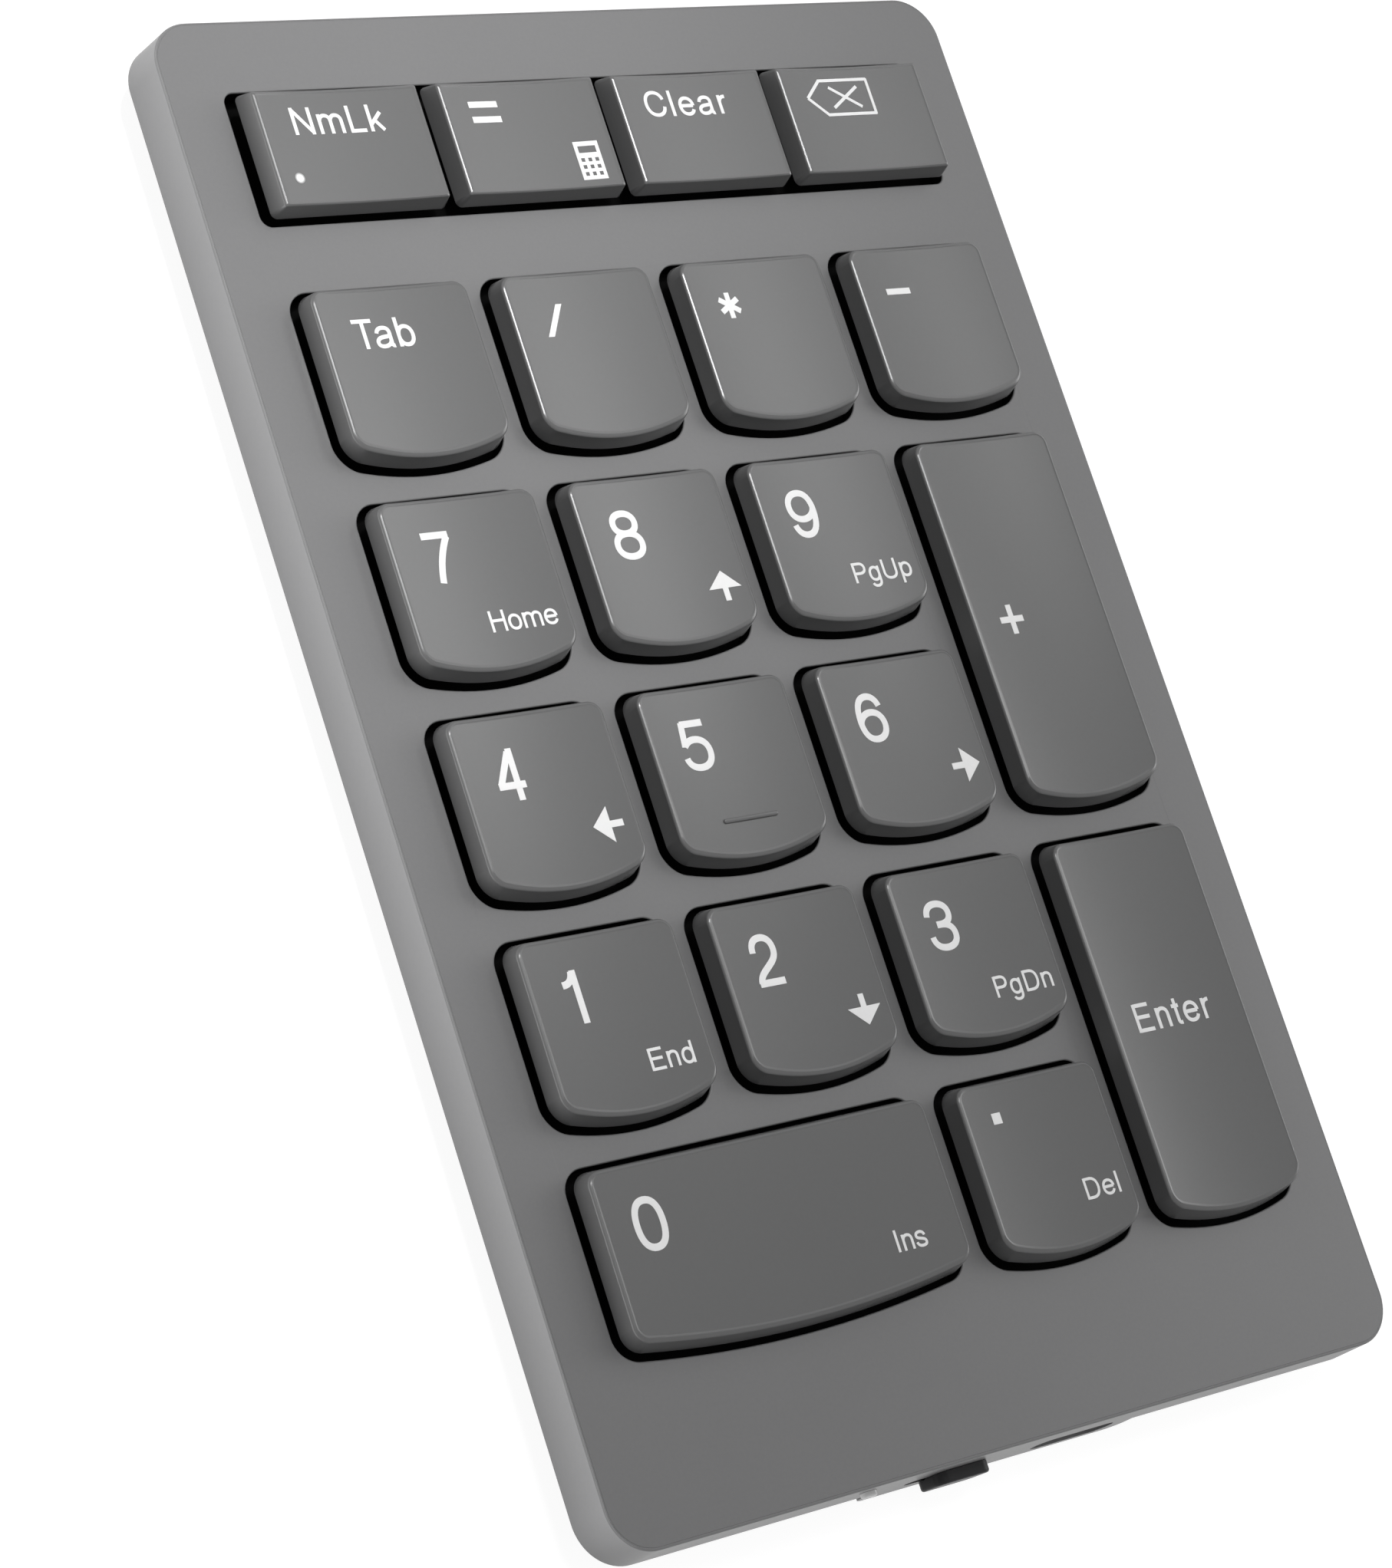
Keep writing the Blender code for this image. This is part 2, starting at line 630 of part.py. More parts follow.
def build_bottom_cover(material):
    """Cover inside the side walls, with a belly that runs forward to the apron."""
    gap = CASE_WALL + COVER_CLEARANCE
    rim = case_outline(-gap)
    mesh = loft_mesh("bottom_cover", [lay_flat(rim, height(RIM_BOTTOM)), lay_flat(rim, height(RIM_TOP))])
    cover = add_object("bottom_cover", mesh, material)
    inside_rim = height(RIM_BOTTOM - COVER_RIM_THICKNESS / 2)
    floor = height(CASE_DEPTH)
    belly = loft_mesh("belly", [
        lay_flat(belly_outline(BELLY_SLOPE), floor), lay_flat(belly_outline(0.0), inside_rim)])
    combine(cover, add_cutter("belly", belly), "UNION")
    half = APRON_WIDTH / 2
    tongue_back = DECK_FRONT_Y + BELLY_INSET + BELLY_SLOPE + BELLY_CORNER_RADIUS
    nose = rectangle(-half, half, DECK_FRONT_Y + gap, tongue_back)
    nose_mesh = loft_mesh("cover_nose", [lay_flat(nose, floor), lay_flat(nose, inside_rim)])
    combine(cover, add_cutter("cover_nose", nose_mesh), "UNION")
    above = height(RIM_TOP - CUT_PAST)
    room = loft_mesh("belly_room", [
        lay_flat(belly_outline(COVER_WALL + BELLY_SLOPE), height(FLOOR_TOP)),
        lay_flat(belly_outline(COVER_WALL), inside_rim),
        lay_flat(belly_outline(COVER_WALL), above)])
    combine(cover, add_cutter("belly_room", room), "DIFFERENCE")
    inner_half = half - COVER_WALL
    nose_room = rectangle(-inner_half, inner_half, DECK_FRONT_Y, tongue_back + COVER_WALL)
    nose_room_mesh = loft_mesh("nose_room", [
        lay_flat(nose_room, height(FLOOR_TOP)), lay_flat(nose_room, above)])
    combine(cover, add_cutter("nose_room", nose_room_mesh), "DIFFERENCE")


def build_feet(material):
    """A long rubber strip under the front and the back of the belly."""
    outline = round_ended(0.0, 0.0, FOOT_LENGTH, FOOT_WIDTH)
    mesh = loft_mesh("foot", [lay_flat(outline, 0.0), lay_flat(outline, FOOT_THICKNESS)])
    edge = BELLY_INSET + BELLY_SLOPE + FOOT_EDGE_INSET + FOOT_WIDTH / 2
    add_object("foot_front", mesh, material, (0.0, DECK_FRONT_Y + edge, 0.0))
    add_object("foot_back", mesh, material, (0.0, DECK_BACK_Y - edge, 0.0))


def build_board(material):
    """Control board across the front, over the socket and the switch."""
    outline = rectangle(-BOARD_WIDTH / 2, BOARD_WIDTH / 2, BOARD_FRONT_Y, BOARD_BACK_Y)
    mesh = loft_mesh("control_board", [
        lay_flat(outline, height(BOARD_TOP + BOARD_THICKNESS)), lay_flat(outline, height(BOARD_TOP))])
    add_object("control_board", mesh, material)


def build_battery(material):
    """Flat cell that lies in the belly."""
    low = FLOOR_TOP - SEAT_GAP
    outline = rounded_rectangle(
        -BATTERY_WIDTH / 2, BATTERY_WIDTH / 2, DECK_MIDDLE_Y - BATTERY_LENGTH / 2,
        DECK_MIDDLE_Y + BATTERY_LENGTH / 2, BATTERY_ROUND, CORNER_STEPS)
    mesh = loft_mesh("battery_cell", [
        lay_flat(outline, height(low)), lay_flat(outline, height(low - BATTERY_THICKNESS))])
    add_object("battery_cell", mesh, material)


def build_socket(shell_material, tongue_material):
    """Socket shell, a round-ended cup open to the front, and the tongue inside it."""
    middle = height(SOCKET_MIDDLE)
    front = DECK_FRONT_Y - CASE_DRAFT * SOCKET_MIDDLE + SOCKET_SETBACK
    back = front + SOCKET_LENGTH
    inside_back = back - SOCKET_BACK_WALL
    outer = round_ended(SOCKET_PLACE, middle, SOCKET_WIDTH, SOCKET_HEIGHT)
    inner = round_ended(
        SOCKET_PLACE, middle, SOCKET_WIDTH - 2 * SOCKET_WALL, SOCKET_HEIGHT - 2 * SOCKET_WALL)
    builder = bmesh.new()
    loft(builder, [
        stand_up(outer, back), stand_up(outer, front), stand_up(inner, front), stand_up(inner, inside_back)])
    add_object("socket_shell", finish_mesh("socket_shell", builder), shell_material)
    tongue = [
        (SOCKET_PLACE + x, middle + z) for x, z in rectangle(
            -TONGUE_WIDTH / 2, TONGUE_WIDTH / 2, -TONGUE_THICKNESS / 2, TONGUE_THICKNESS / 2)]
    mesh = loft_mesh("socket_tongue", [
        stand_up(tongue, front + TONGUE_SETBACK), stand_up(tongue, inside_back - LAYER_GAP)])
    add_object("socket_tongue", mesh, tongue_material)


def knob_outline(width, tall, radius):
    """A rectangle with round corners about the knob's middle."""
    return rounded_rectangle(-width / 2, width / 2, -tall / 2, tall / 2, radius, CORNER_STEPS)


def lean_up(outline):
    """An outline of x and z in a plane that leans with the front wall."""
    return [(x, CASE_DRAFT * z, z) for x, z in outline]


def build_switch(body_material, knob_material):
    """Slide switch: the body behind the wall, and the knob with its neck through the slot."""
    middle = height(SOCKET_MIDDLE)
    body_front = WALL_INNER_Y + SEAT_GAP
    body_length = KNOB_NECK_WIDTH + KNOB_TRAVEL + 2 * (KNOB_NECK_CLEARANCE + SWITCH_BODY_END)
    body_middle = KNOB_PLACE - KNOB_TRAVEL / 2
    half = body_length / 2
    outline = rectangle(
        body_middle - half, body_middle + half, middle - SWITCH_BODY_HEIGHT / 2,
        middle + SWITCH_BODY_HEIGHT / 2)
    mesh = loft_mesh("switch_body", [
        stand_up(outline, body_front), stand_up(outline, body_front + SWITCH_BODY_DEPTH)])
    body = add_object("switch_body", mesh, body_material)
    groove = rectangle(
        body_middle - half + SWITCH_BODY_END, body_middle + half - SWITCH_BODY_END,
        middle - KNOB_NECK_HEIGHT / 2 - KNOB_NECK_CLEARANCE,
        middle + KNOB_NECK_HEIGHT / 2 + KNOB_NECK_CLEARANCE)
    groove_mesh = loft_mesh("switch_groove", [
        stand_up(groove, body_front - CUT_PAST), stand_up(groove, body_front + SWITCH_GROOVE_DEPTH)])
    combine(body, add_cutter("switch_groove", groove_mesh), "DIFFERENCE")

    knob_back = DECK_FRONT_Y - CASE_DRAFT * SOCKET_MIDDLE - KNOB_WALL_GAP
    knob_front = DECK_FRONT_Y - KNOB_REACH
    neck_end = body_front + SWITCH_GROOVE_DEPTH - KNOB_NECK_CLEARANCE
    neck = knob_outline(KNOB_NECK_WIDTH, KNOB_NECK_HEIGHT, KNOB_NECK_RADIUS)
    cap = knob_outline(KNOB_WIDTH, KNOB_HEIGHT, KNOB_CORNER_RADIUS)
    face = knob_outline(KNOB_WIDTH - 2 * KNOB_EDGE_ROUND, KNOB_HEIGHT - 2 * KNOB_EDGE_ROUND,
                        KNOB_CORNER_RADIUS - KNOB_EDGE_ROUND)
    mesh = loft_mesh("switch_knob", [
        stand_up(neck, neck_end - knob_back), lean_up(neck), lean_up(cap),
        stand_up(cap, knob_front + KNOB_EDGE_ROUND - knob_back), stand_up(face, knob_front - knob_back)])
    add_object("switch_knob", mesh, knob_material, (KNOB_PLACE, knob_back, middle))


def build_lens(material):
    """Light window that stands a little proud of the front wall."""
    depth = lens_depth()
    front = DECK_FRONT_Y - LENS_REACH
    body = round_ended(LENS_PLACE, height(depth), LENS_WIDTH, LENS_HEIGHT)
    face = round_ended(
        LENS_PLACE, height(depth), LENS_WIDTH - 2 * LENS_ROUND, LENS_HEIGHT - 2 * LENS_ROUND)
    mesh = loft_mesh("light_window", [
        stand_up(body, WALL_INNER_Y), stand_up(body, front + LENS_ROUND), stand_up(face, front)])
    add_object("light_window", mesh, material)


def main():
    """Build every piece of the keypad."""
    clear_scene()
    build_top_case(plastic("case_grey", (0.17, 0.17, 0.175), 0.45))
    build_keycaps(plastic("key_grey", (0.15, 0.15, 0.155), 0.4))
    build_scissors(plastic("scissor_black", (0.02, 0.02, 0.021), 0.5))
    build_dome_sheet(plastic("dome_rubber", (0.012, 0.012, 0.012), 0.7))
    build_membrane(plastic("membrane_film", (0.03, 0.031, 0.033), 0.35))
    build_backplate(plastic("plate_steel", (0.6, 0.6, 0.62), 0.35, 1.0))
    build_bottom_cover(plastic("cover_grey", (0.12, 0.12, 0.125), 0.55))
    build_feet(plastic("foot_rubber", (0.03, 0.03, 0.03), 0.8))
    build_board(plastic("board_green", (0.02, 0.16, 0.07), 0.5))
    build_battery(plastic("cell_foil", (0.55, 0.55, 0.56), 0.4))
    build_socket(plastic("socket_steel", (0.55, 0.55, 0.56), 0.3, 1.0),
                 plastic("tongue_black", (0.02, 0.02, 0.02), 0.5))
    build_switch(plastic("switch_black", (0.02, 0.02, 0.02), 0.5),
                 plastic("knob_black", (0.015, 0.015, 0.016), 0.45))
    build_lens(plastic("window_clear", (0.75, 0.75, 0.76), 0.2))


if __name__ == "__main__":
    main()
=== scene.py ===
"""Slim numeric keypad: the visible pieces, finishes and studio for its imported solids.

Laid out as a Blender add-on and run as a script. Everything is in metres, in the frame of the
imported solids: +Z is up and the back edge of the keypad lies towards +Y.
"""
import json
import math
from collections import namedtuple

import bmesh
import bpy
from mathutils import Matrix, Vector


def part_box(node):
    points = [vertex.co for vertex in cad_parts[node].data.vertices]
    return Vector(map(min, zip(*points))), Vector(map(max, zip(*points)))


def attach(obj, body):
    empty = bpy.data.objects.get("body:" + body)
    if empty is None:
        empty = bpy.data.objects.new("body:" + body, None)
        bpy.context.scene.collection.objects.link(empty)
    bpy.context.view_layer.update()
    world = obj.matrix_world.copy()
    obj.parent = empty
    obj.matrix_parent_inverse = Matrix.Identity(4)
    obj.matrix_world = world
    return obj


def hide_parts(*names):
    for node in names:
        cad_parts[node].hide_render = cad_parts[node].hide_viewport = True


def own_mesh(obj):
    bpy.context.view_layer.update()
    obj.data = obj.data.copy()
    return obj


bl_info = {
    "name": "Numeric keypad",
    "version": (1, 0, 0),
    "blender": (4, 5, 0),
    "location": "3D View > Sidebar > Keypad",
    "description": "Builds the visible pieces of a slim numeric keypad on its packed solids",
    "category": "Object",
}

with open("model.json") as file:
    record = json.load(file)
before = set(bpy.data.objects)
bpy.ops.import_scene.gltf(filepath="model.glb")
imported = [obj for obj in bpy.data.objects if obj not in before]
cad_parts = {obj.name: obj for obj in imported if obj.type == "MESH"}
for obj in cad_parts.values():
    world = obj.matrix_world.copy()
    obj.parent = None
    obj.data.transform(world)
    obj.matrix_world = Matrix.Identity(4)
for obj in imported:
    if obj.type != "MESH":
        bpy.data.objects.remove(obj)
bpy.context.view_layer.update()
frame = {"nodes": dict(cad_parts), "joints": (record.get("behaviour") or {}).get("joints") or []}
MM = 0.001
Box = namedtuple("Box", "middle size low high")
Deck = namedtuple("Deck", "half front back height")

# Keys in reading order; the first row stands together in one slot
FUNCTION_KEYS = ("number_lock", "equals", "clear", "backspace")
GRID_KEYS = (
    "tab", "divide", "multiply", "minus", "seven", "eight", "nine", "plus", "four", "five", "six",
    "one", "two", "three", "enter", "zero", "point",
)
KEYS = FUNCTION_KEYS + GRID_KEYS
DOUBLE_KEYS = ("plus", "enter", "zero")

# Glyphs as pen strokes in units of the capital height: advance width, then path
GLYPHS = {
    "0": (0.70, "M .35 .935 C .55 .935 .635 .76 .635 .5 C .635 .24 .55 .065 .35 .065 "
                "C .15 .065 .065 .24 .065 .5 C .065 .76 .15 .935 .35 .935 Z"),
    "1": (0.70, "M .335 0 L .335 1 M 0 .745 C .17 .745 .27 .81 .30 .97"),
    "2": (0.70, "M .075 .66 C .07 .84 .18 .935 .355 .935 C .53 .935 .63 .83 .63 .68 "
                "C .63 .52 .5 .45 .36 .36 C .2 .26 .09 .2 .075 .065 M .02 .065 L .7 .065"),
    "3": (0.70, "M .075 .70 C .085 .85 .19 .935 .345 .935 C .51 .935 .615 .85 .615 .72 "
                "C .615 .59 .51 .525 .36 .525 L .26 .525 "
                "M .36 .525 C .53 .525 .64 .44 .64 .30 C .64 .15 .52 .065 .35 .065 "
                "C .18 .065 .075 .15 .065 .30"),
    "4": (0.70, "M .50 0 L .50 1 M .46 .93 L .065 .31 M 0 .295 L .70 .295"),
    "5": (0.70, "M .64 .935 L .13 .935 M .155 .97 L .095 .49 "
                "M .09 .50 C .16 .585 .25 .62 .345 .62 C .53 .62 .64 .51 .64 .35 "
                "C .64 .17 .52 .065 .335 .065 C .17 .065 .075 .15 .06 .27"),
    "6": (0.70, "M .61 .72 C .58 .86 .49 .935 .365 .935 C .17 .935 .065 .76 .065 .45 "
                "C .065 .2 .17 .065 .35 .065 C .52 .065 .635 .18 .635 .34 "
                "C .635 .50 .53 .61 .365 .61 C .22 .61 .1 .52 .07 .40"),
    "7": (0.70, "M 0 .935 L .70 .935 M .655 .90 C .46 .66 .30 .36 .235 0"),
    "8": (0.70, "M .35 .935 C .51 .935 .605 .85 .605 .735 C .605 .61 .50 .53 .35 .53 "
                "C .20 .53 .095 .61 .095 .735 C .095 .85 .19 .935 .35 .935 Z "
                "M .35 .53 C .53 .53 .64 .44 .64 .30 C .64 .155 .52 .065 .35 .065 "
                "C .18 .065 .06 .155 .06 .30 C .06 .44 .17 .53 .35 .53 Z"),
    "9": (0.70, "M .09 .28 C .12 .14 .21 .065 .335 .065 C .53 .065 .635 .24 .635 .55 "
                "C .635 .8 .53 .935 .35 .935 C .18 .935 .065 .82 .065 .66 "
                "C .065 .50 .17 .39 .335 .39 C .48 .39 .6 .48 .63 .60"),
    "C": (1.005, "M .90 .66 C .86 .84 .72 .94 .53 .94 C .27 .94 .12 .76 .12 .5 "
                 "C .12 .24 .27 .06 .53 .06 C .73 .06 .88 .18 .91 .38"),
    "D": (1.005, "M .17 0 L .17 1 M .17 .94 L .46 .94 C .74 .94 .88 .78 .88 .5 "
                 "C .88 .22 .74 .06 .46 .06 L .17 .06"),
    "E": (0.929, "M .17 0 L .17 1 M .17 .94 L .83 .94 M .17 .525 L .79 .525 M .17 .06 L .85 .06"),
    "H": (1.005, "M .165 0 L .165 1 M .84 0 L .84 1 M .165 .53 L .84 .53"),
    "I": (0.387, "M .193 0 L .193 1"),
    "L": (0.774, "M .165 0 L .165 1 M .1 .06 L .73 .06"),
    "N": (1.005, "M .165 0 L .165 1 M .84 0 L .84 1 M .15 .96 L .855 .04"),
    "P": (0.929, "M .17 0 L .17 1 M .17 .94 L .5 .94 C .69 .94 .80 .85 .80 .70 "
                 "C .80 .55 .69 .46 .5 .46 L .17 .46"),
    "T": (0.72, "M .03 .94 L .77 .94 M .40 0 L .40 .95"),
    "U": (1.005, "M .16 1 L .16 .36 C .16 .16 .29 .055 .50 .055 C .71 .055 .845 .16 .845 .36 L .845 1"),
    "a": (0.774, "M .13 .50 C .15 .62 .25 .68 .375 .68 C .52 .68 .6 .62 .6 .5 L .6 .14 "
                 "C .6 .07 .64 .05 .70 .06 M .6 .41 C .5 .37 .36 .38 .26 .35 C .15 .32 .1 .26 .1 .19 "
                 "C .1 .1 .18 .05 .29 .05 C .45 .05 .6 .13 .6 .28"),
    "b": (0.774, "M .14 0 L .14 1 M .14 .36 C .14 .56 .25 .68 .39 .68 C .56 .68 .66 .55 .66 .365 "
                 "C .66 .18 .56 .055 .39 .055 C .25 .055 .14 .17 .14 .36"),
    "d": (0.774, "M .63 0 L .63 1 M .63 .36 C .63 .56 .52 .68 .38 .68 C .21 .68 .11 .55 .11 .365 "
                 "C .11 .18 .21 .055 .38 .055 C .52 .055 .63 .17 .63 .36"),
    "e": (0.774, "M .12 .385 L .67 .385 M .68 .385 C .68 .57 .56 .68 .395 .68 "
                 "C .22 .68 .115 .55 .115 .365 C .115 .17 .23 .055 .40 .055 C .53 .055 .63 .12 .665 .23"),
    "g": (0.774, "M .62 .36 C .62 .56 .52 .68 .37 .68 C .2 .68 .105 .55 .105 .365 "
                 "C .105 .18 .2 .06 .37 .06 C .52 .06 .62 .17 .62 .36 "
                 "M .62 .73 L .62 .02 C .62 -.15 .52 -.24 .36 -.24 C .24 -.24 .15 -.19 .13 -.10"),
    "k": (0.696, "M .155 0 L .155 1 M .62 .70 L .17 .27 M .33 .42 L .625 .03"),
    "l": (0.309, "M .155 0 L .155 1"),
    "m": (1.16, "M .15 0 L .15 .73 M .15 .46 C .17 .60 .26 .675 .36 .675 C .5 .675 .58 .60 .58 .46 "
                "L .58 0 M .58 .46 C .60 .60 .69 .675 .79 .675 C .93 .675 1.01 .6 1.01 .46 L 1.01 0"),
    "n": (0.774, "M .155 0 L .155 .73 M .155 .45 C .175 .60 .27 .68 .39 .68 C .54 .68 .62 .60 .62 .45 "
                 "L .62 0"),
    "o": (0.774, "M .387 .68 C .56 .68 .665 .56 .665 .367 C .665 .17 .56 .055 .387 .055 "
                 "C .215 .055 .11 .17 .11 .367 C .11 .56 .215 .68 .387 .68 Z"),
    "p": (0.774, "M .14 -.29 L .14 .73 M .14 .36 C .14 .56 .25 .68 .39 .68 C .56 .68 .66 .55 .66 .365 "
                 "C .66 .18 .56 .055 .39 .055 C .25 .055 .14 .17 .14 .36"),
    "r": (0.464, "M .155 0 L .155 .73 M .155 .44 C .18 .60 .28 .68 .43 .665"),
    "s": (0.696, "M .57 .50 C .55 .62 .47 .68 .34 .68 C .2 .68 .12 .62 .12 .53 C .12 .43 .22 .41 .35 .375 "
                 "C .49 .34 .6 .31 .6 .2 C .6 .1 .5 .055 .35 .055 C .2 .055 .11 .12 .09 .24"),
    "t": (0.387, "M .2 .93 L .2 .17 C .2 .08 .24 .06 .35 .065 M .03 .67 L .35 .67"),
}

# Words on the keys, in millimetres from the key's middle: left, baseline, capital height, width
WORDS = (
    ("number_lock", "NmLk", -4.86, 1.05, 2.50, 9.1),
    ("clear", "Clear", -5.18, 1.05, 2.50, 9.2),
    ("tab", "Tab", -4.72, 2.25, 2.65, 6.06),
    ("seven", "7", -4.62, 0.35, 4.46, 3.2), ("seven", "Home", -0.20, -4.34, 1.86, 6.55),
    ("eight", "8", -4.70, 0.35, 4.46, 3.2),
    ("nine", "9", -4.78, 0.35, 4.46, 3.2), ("nine", "PgUp", 0.16, -4.30, 1.86, 6.3),
    ("four", "4", -4.62, 0.35, 4.46, 3.2),
    ("five", "5", -4.70, 0.35, 4.46, 3.2),
    ("six", "6", -4.78, 0.35, 4.46, 3.2),
    ("one", "1", -4.58, 0.42, 4.46, 1.8), ("one", "End", 1.66, -4.46, 1.86, 4.3),
    ("two", "2", -4.70, 0.42, 4.46, 3.2),
    ("three", "3", -4.78, 0.42, 4.46, 3.2), ("three", "PgDn", 0.31, -4.42, 1.86, 6.25),
    ("enter", "Enter", -4.88, -0.52, 2.55, 8.95),
    ("zero", "0", -14.30, 0.48, 4.46, 3.2), ("zero", "Ins", 10.06, -4.28, 1.86, 3.15),
    ("point", "Del", 2.58, -3.88, 1.86, 3.7),
)

# Signs drawn with the pen, in millimetres from the key's middle: path, then pen width
SIGNS = (
    ("equals", "M -5.29 3.03 L -2.26 3.03 M -5.29 1.60 L -2.26 1.60", 0.58),
    ("multiply", "M -3.49 2.22 L -3.49 4.66 M -4.53 2.84 L -2.45 4.04 M -4.53 4.04 L -2.45 2.84", 0.52),
    ("minus", "M -4.65 3.44 L -1.86 3.44", 0.58),
    ("plus", "M -4.57 0 L -1.86 0 M -3.21 -1.38 L -3.21 1.38", 0.58),
    ("backspace", "M -5.30 2.08 L -3.33 3.86 M -3.45 3.79 L 2.22 3.79 M 2.15 3.86 L 2.15 .30 "
                  "M 2.22 .37 L -3.45 .37 M -3.33 .30 L -5.30 2.08 "
                  "M -2.50 3.10 L .80 1.06 M -2.50 1.06 L .80 3.10", 0.30),
    ("eight", "M 5.08 -4.32 L 5.08 -3.1", 0.58),
    ("two", "M 5.08 -1.69 L 5.08 -2.9", 0.58),
    ("four", "M 6.28 -2.85 L 4.9 -2.85", 0.58),
    ("six", "M 3.73 -2.85 L 5.1 -2.85", 0.58),
)

# Solid marks, in millimetres from the key's middle
PATCHES = (
    ("divide", ((-4.50, 1.92), (-3.86, 1.92), (-2.09, 4.88), (-2.73, 4.88))),
    ("point", ((-4.65, 4.10), (-3.66, 4.10), (-3.66, 5.06), (-4.65, 5.06))),
    ("eight", ((3.41, -3.18), (6.75, -3.18), (5.08, -1.60))),
    ("two", ((6.75, -2.80), (3.41, -2.80), (5.08, -4.40))),
    ("four", ((5.06, -4.42), (5.06, -1.28), (3.34, -2.85))),
    ("six", ((4.95, -1.28), (4.95, -4.42), (6.67, -2.85))),
)

# Calculator mark on the equals key: lines of its cells in millimetres, and the cells left open
CALCULATOR_COLUMNS = (4.25, 4.62, 5.0, 5.35, 5.73, 6.08, 6.46, 6.81)
CALCULATOR_ROWS = (-4.59, -4.22, -3.86, -3.55, -3.19, -2.88, -2.52, -2.03, -1.38, -0.95)
CALCULATOR_OPEN = tuple((column, row) for column in (1, 3, 5) for row in (1, 3, 5)) + tuple(
    (column, 7) for column in (1, 2, 3, 4, 5))

# Lit dot of the number lock key, its glow painted as colour, in millimetres from the key's middle: x, y,
# radius
LOCK_DOT = (-5.79, -2.89, 0.50)

# Section of the bead round the deck, for a bead of width 1: inset from the wall, depth under the deck
EDGE_BEAD = (
    (1.0, 0.0), (0.93, 0.08), (0.86, 0.12), (0.79, 0.11), (0.72, 0.05), (0.63, 0.012), (0.54, 0.0),
    (0.45, 0.02), (0.37, 0.075), (0.31, 0.17), (0.27, 0.28), (0.16, 0.36), (0.06, 0.44), (0.0, 0.55),
    (0.0, 0.7),
)

# Finishes: a colour or the name of a colour setting, the roughness, what differs from a plain moulding
PLAIN_MOULDING = {
    "grain": 3000.0, "bump": 0.1, "depth": 0.01 * MM, "shade": 0.04, "polish": 0.04, "metallic": 0.0,
    "specular": 0.5,
}
FINISHES = {
    "case_satin": ("case", 0.4, {}),
    "key_satin": ("key", 0.26, {"bump": 0.0, "shade": 0.02, "polish": 0.01}),
    "legend_print": ("legend", 0.5, {"shade": 0.02}),
    "light_dot": ("key", 0.4, {"bump": 0.02}),
    "cover_moulding": ("cover", 0.5, {"grain": 1400.0, "bump": 0.25, "depth": 0.03 * MM}),
    "knob_moulding": ("knob", 0.42, {"grain": 2600.0, "bump": 0.15, "specular": 0.2}),
    "rolled_steel": ((0.56, 0.56, 0.57), 0.3, {"grain": 1500.0, "metallic": 1.0, "polish": 0.02}),
    "black_moulding": ((0.02, 0.02, 0.021), 0.5, {}),
    # Near-black of the wells: painted shade in the gaps round the keys
    "well_painted_shade": ((0.001, 0.001, 0.001), 0.7, {"specular": 0.05}),
    "foot_rubber": ((0.022, 0.022, 0.022), 0.8, {
        "grain": 2200.0, "bump": 0.35, "depth": 0.03 * MM, "shade": 0.1}),
    "clear_moulding": ((0.9, 0.9, 0.9), 0.25, {"shade": 0.03}),
    # Levers, domes and membrane: dark mouldings taken to near-black, darker than their own colour, as
    # painted shade in the gaps round the keys
    "lever_resin_and_shade": ((0.008, 0.008, 0.008), 0.5, {"shade": 0.03, "specular": 0.15}),
    "dome_rubber": ((0.0012, 0.0012, 0.0012), 0.7, {"specular": 0.05}),
    "membrane_film": ((0.002, 0.002, 0.002), 0.6, {"shade": 0.03, "specular": 0.05}),
    "board_lacquer": ((0.02, 0.15, 0.07), 0.4, {"shade": 0.12}),
    "cell_foil": ((0.5, 0.5, 0.51), 0.4, {"metallic": 0.6, "shade": 0.05}),
}

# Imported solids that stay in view, and their finishes
PAINTED_SOLIDS = {
    "switch_body": "black_moulding", "socket_tongue": "black_moulding", "membrane": "membrane_film",
    "backplate": "rolled_steel", "control_board": "board_lacquer", "battery_cell": "cell_foil",
}

# Section of a rubber dome: radius in millimetres, share of its height
DOME_SECTION = (
    (2.4, 0.0), (2.35, 0.06), (2.1, 0.2), (1.75, 0.5), (1.5, 0.75), (1.38, 0.9), (1.3, 0.97), (1.15, 1.0),
)

# Soft lamps of the studio: place and aim in metres, width, depth, power in watts
SOFTBOXES = {
    "overhead_softbox": ((-0.090, 0.243, 0.861), (0.0, 0.0, 0.0), 0.30, 0.30, 2.4),
    "right_softbox": ((0.816, 0.0, 0.380), (0.0, 0.0, 0.0), 0.42, 0.42, 1.95),
    "back_softbox": ((0.473, 0.473, 0.602), (0.0, 0.0, 0.0), 0.42, 0.42, 0.5),
    "table_light": ((-0.155, -0.02, 0.0005), (-0.155, -0.02, 1.0), 0.20, 0.34, 0.9),
    "table_strip": ((-0.049, 0.0, 0.0005), (-0.049, 0.0, 1.0), 0.012, 0.30, 0.004),
}

# Lamps over the back left, with a soft edge: place and aim, reach, blend of the edge, radius, power
POOL_LAMPS = {
    "overhead_lamp": ((-0.148, 0.272, 0.680), (-0.078, 0.083, 0.010), 0.125, 0.64, 0.03, 12.4),
    "mirrored_lamp": ((0.375, 0.190, 0.490), (-0.090, 0.083, 0.010), 0.125, 0.64, 0.07, 1.15),
}


def length(name, description, millimetres):
    """A setting for a length, with its first value in millimetres."""
    return bpy.props.FloatProperty(
        name=name, description=description, default=millimetres * MM, unit="LENGTH")


def number(name, description, value, **more):
    """A setting for a plain number."""
    return bpy.props.FloatProperty(name=name, description=description, default=value, **more)


def colour(name, description, *shade):
    """A setting for a colour."""
    return bpy.props.FloatVectorProperty(
        name=name, description=description, subtype="COLOR", size=3, default=shade, min=0.0, max=1.0)


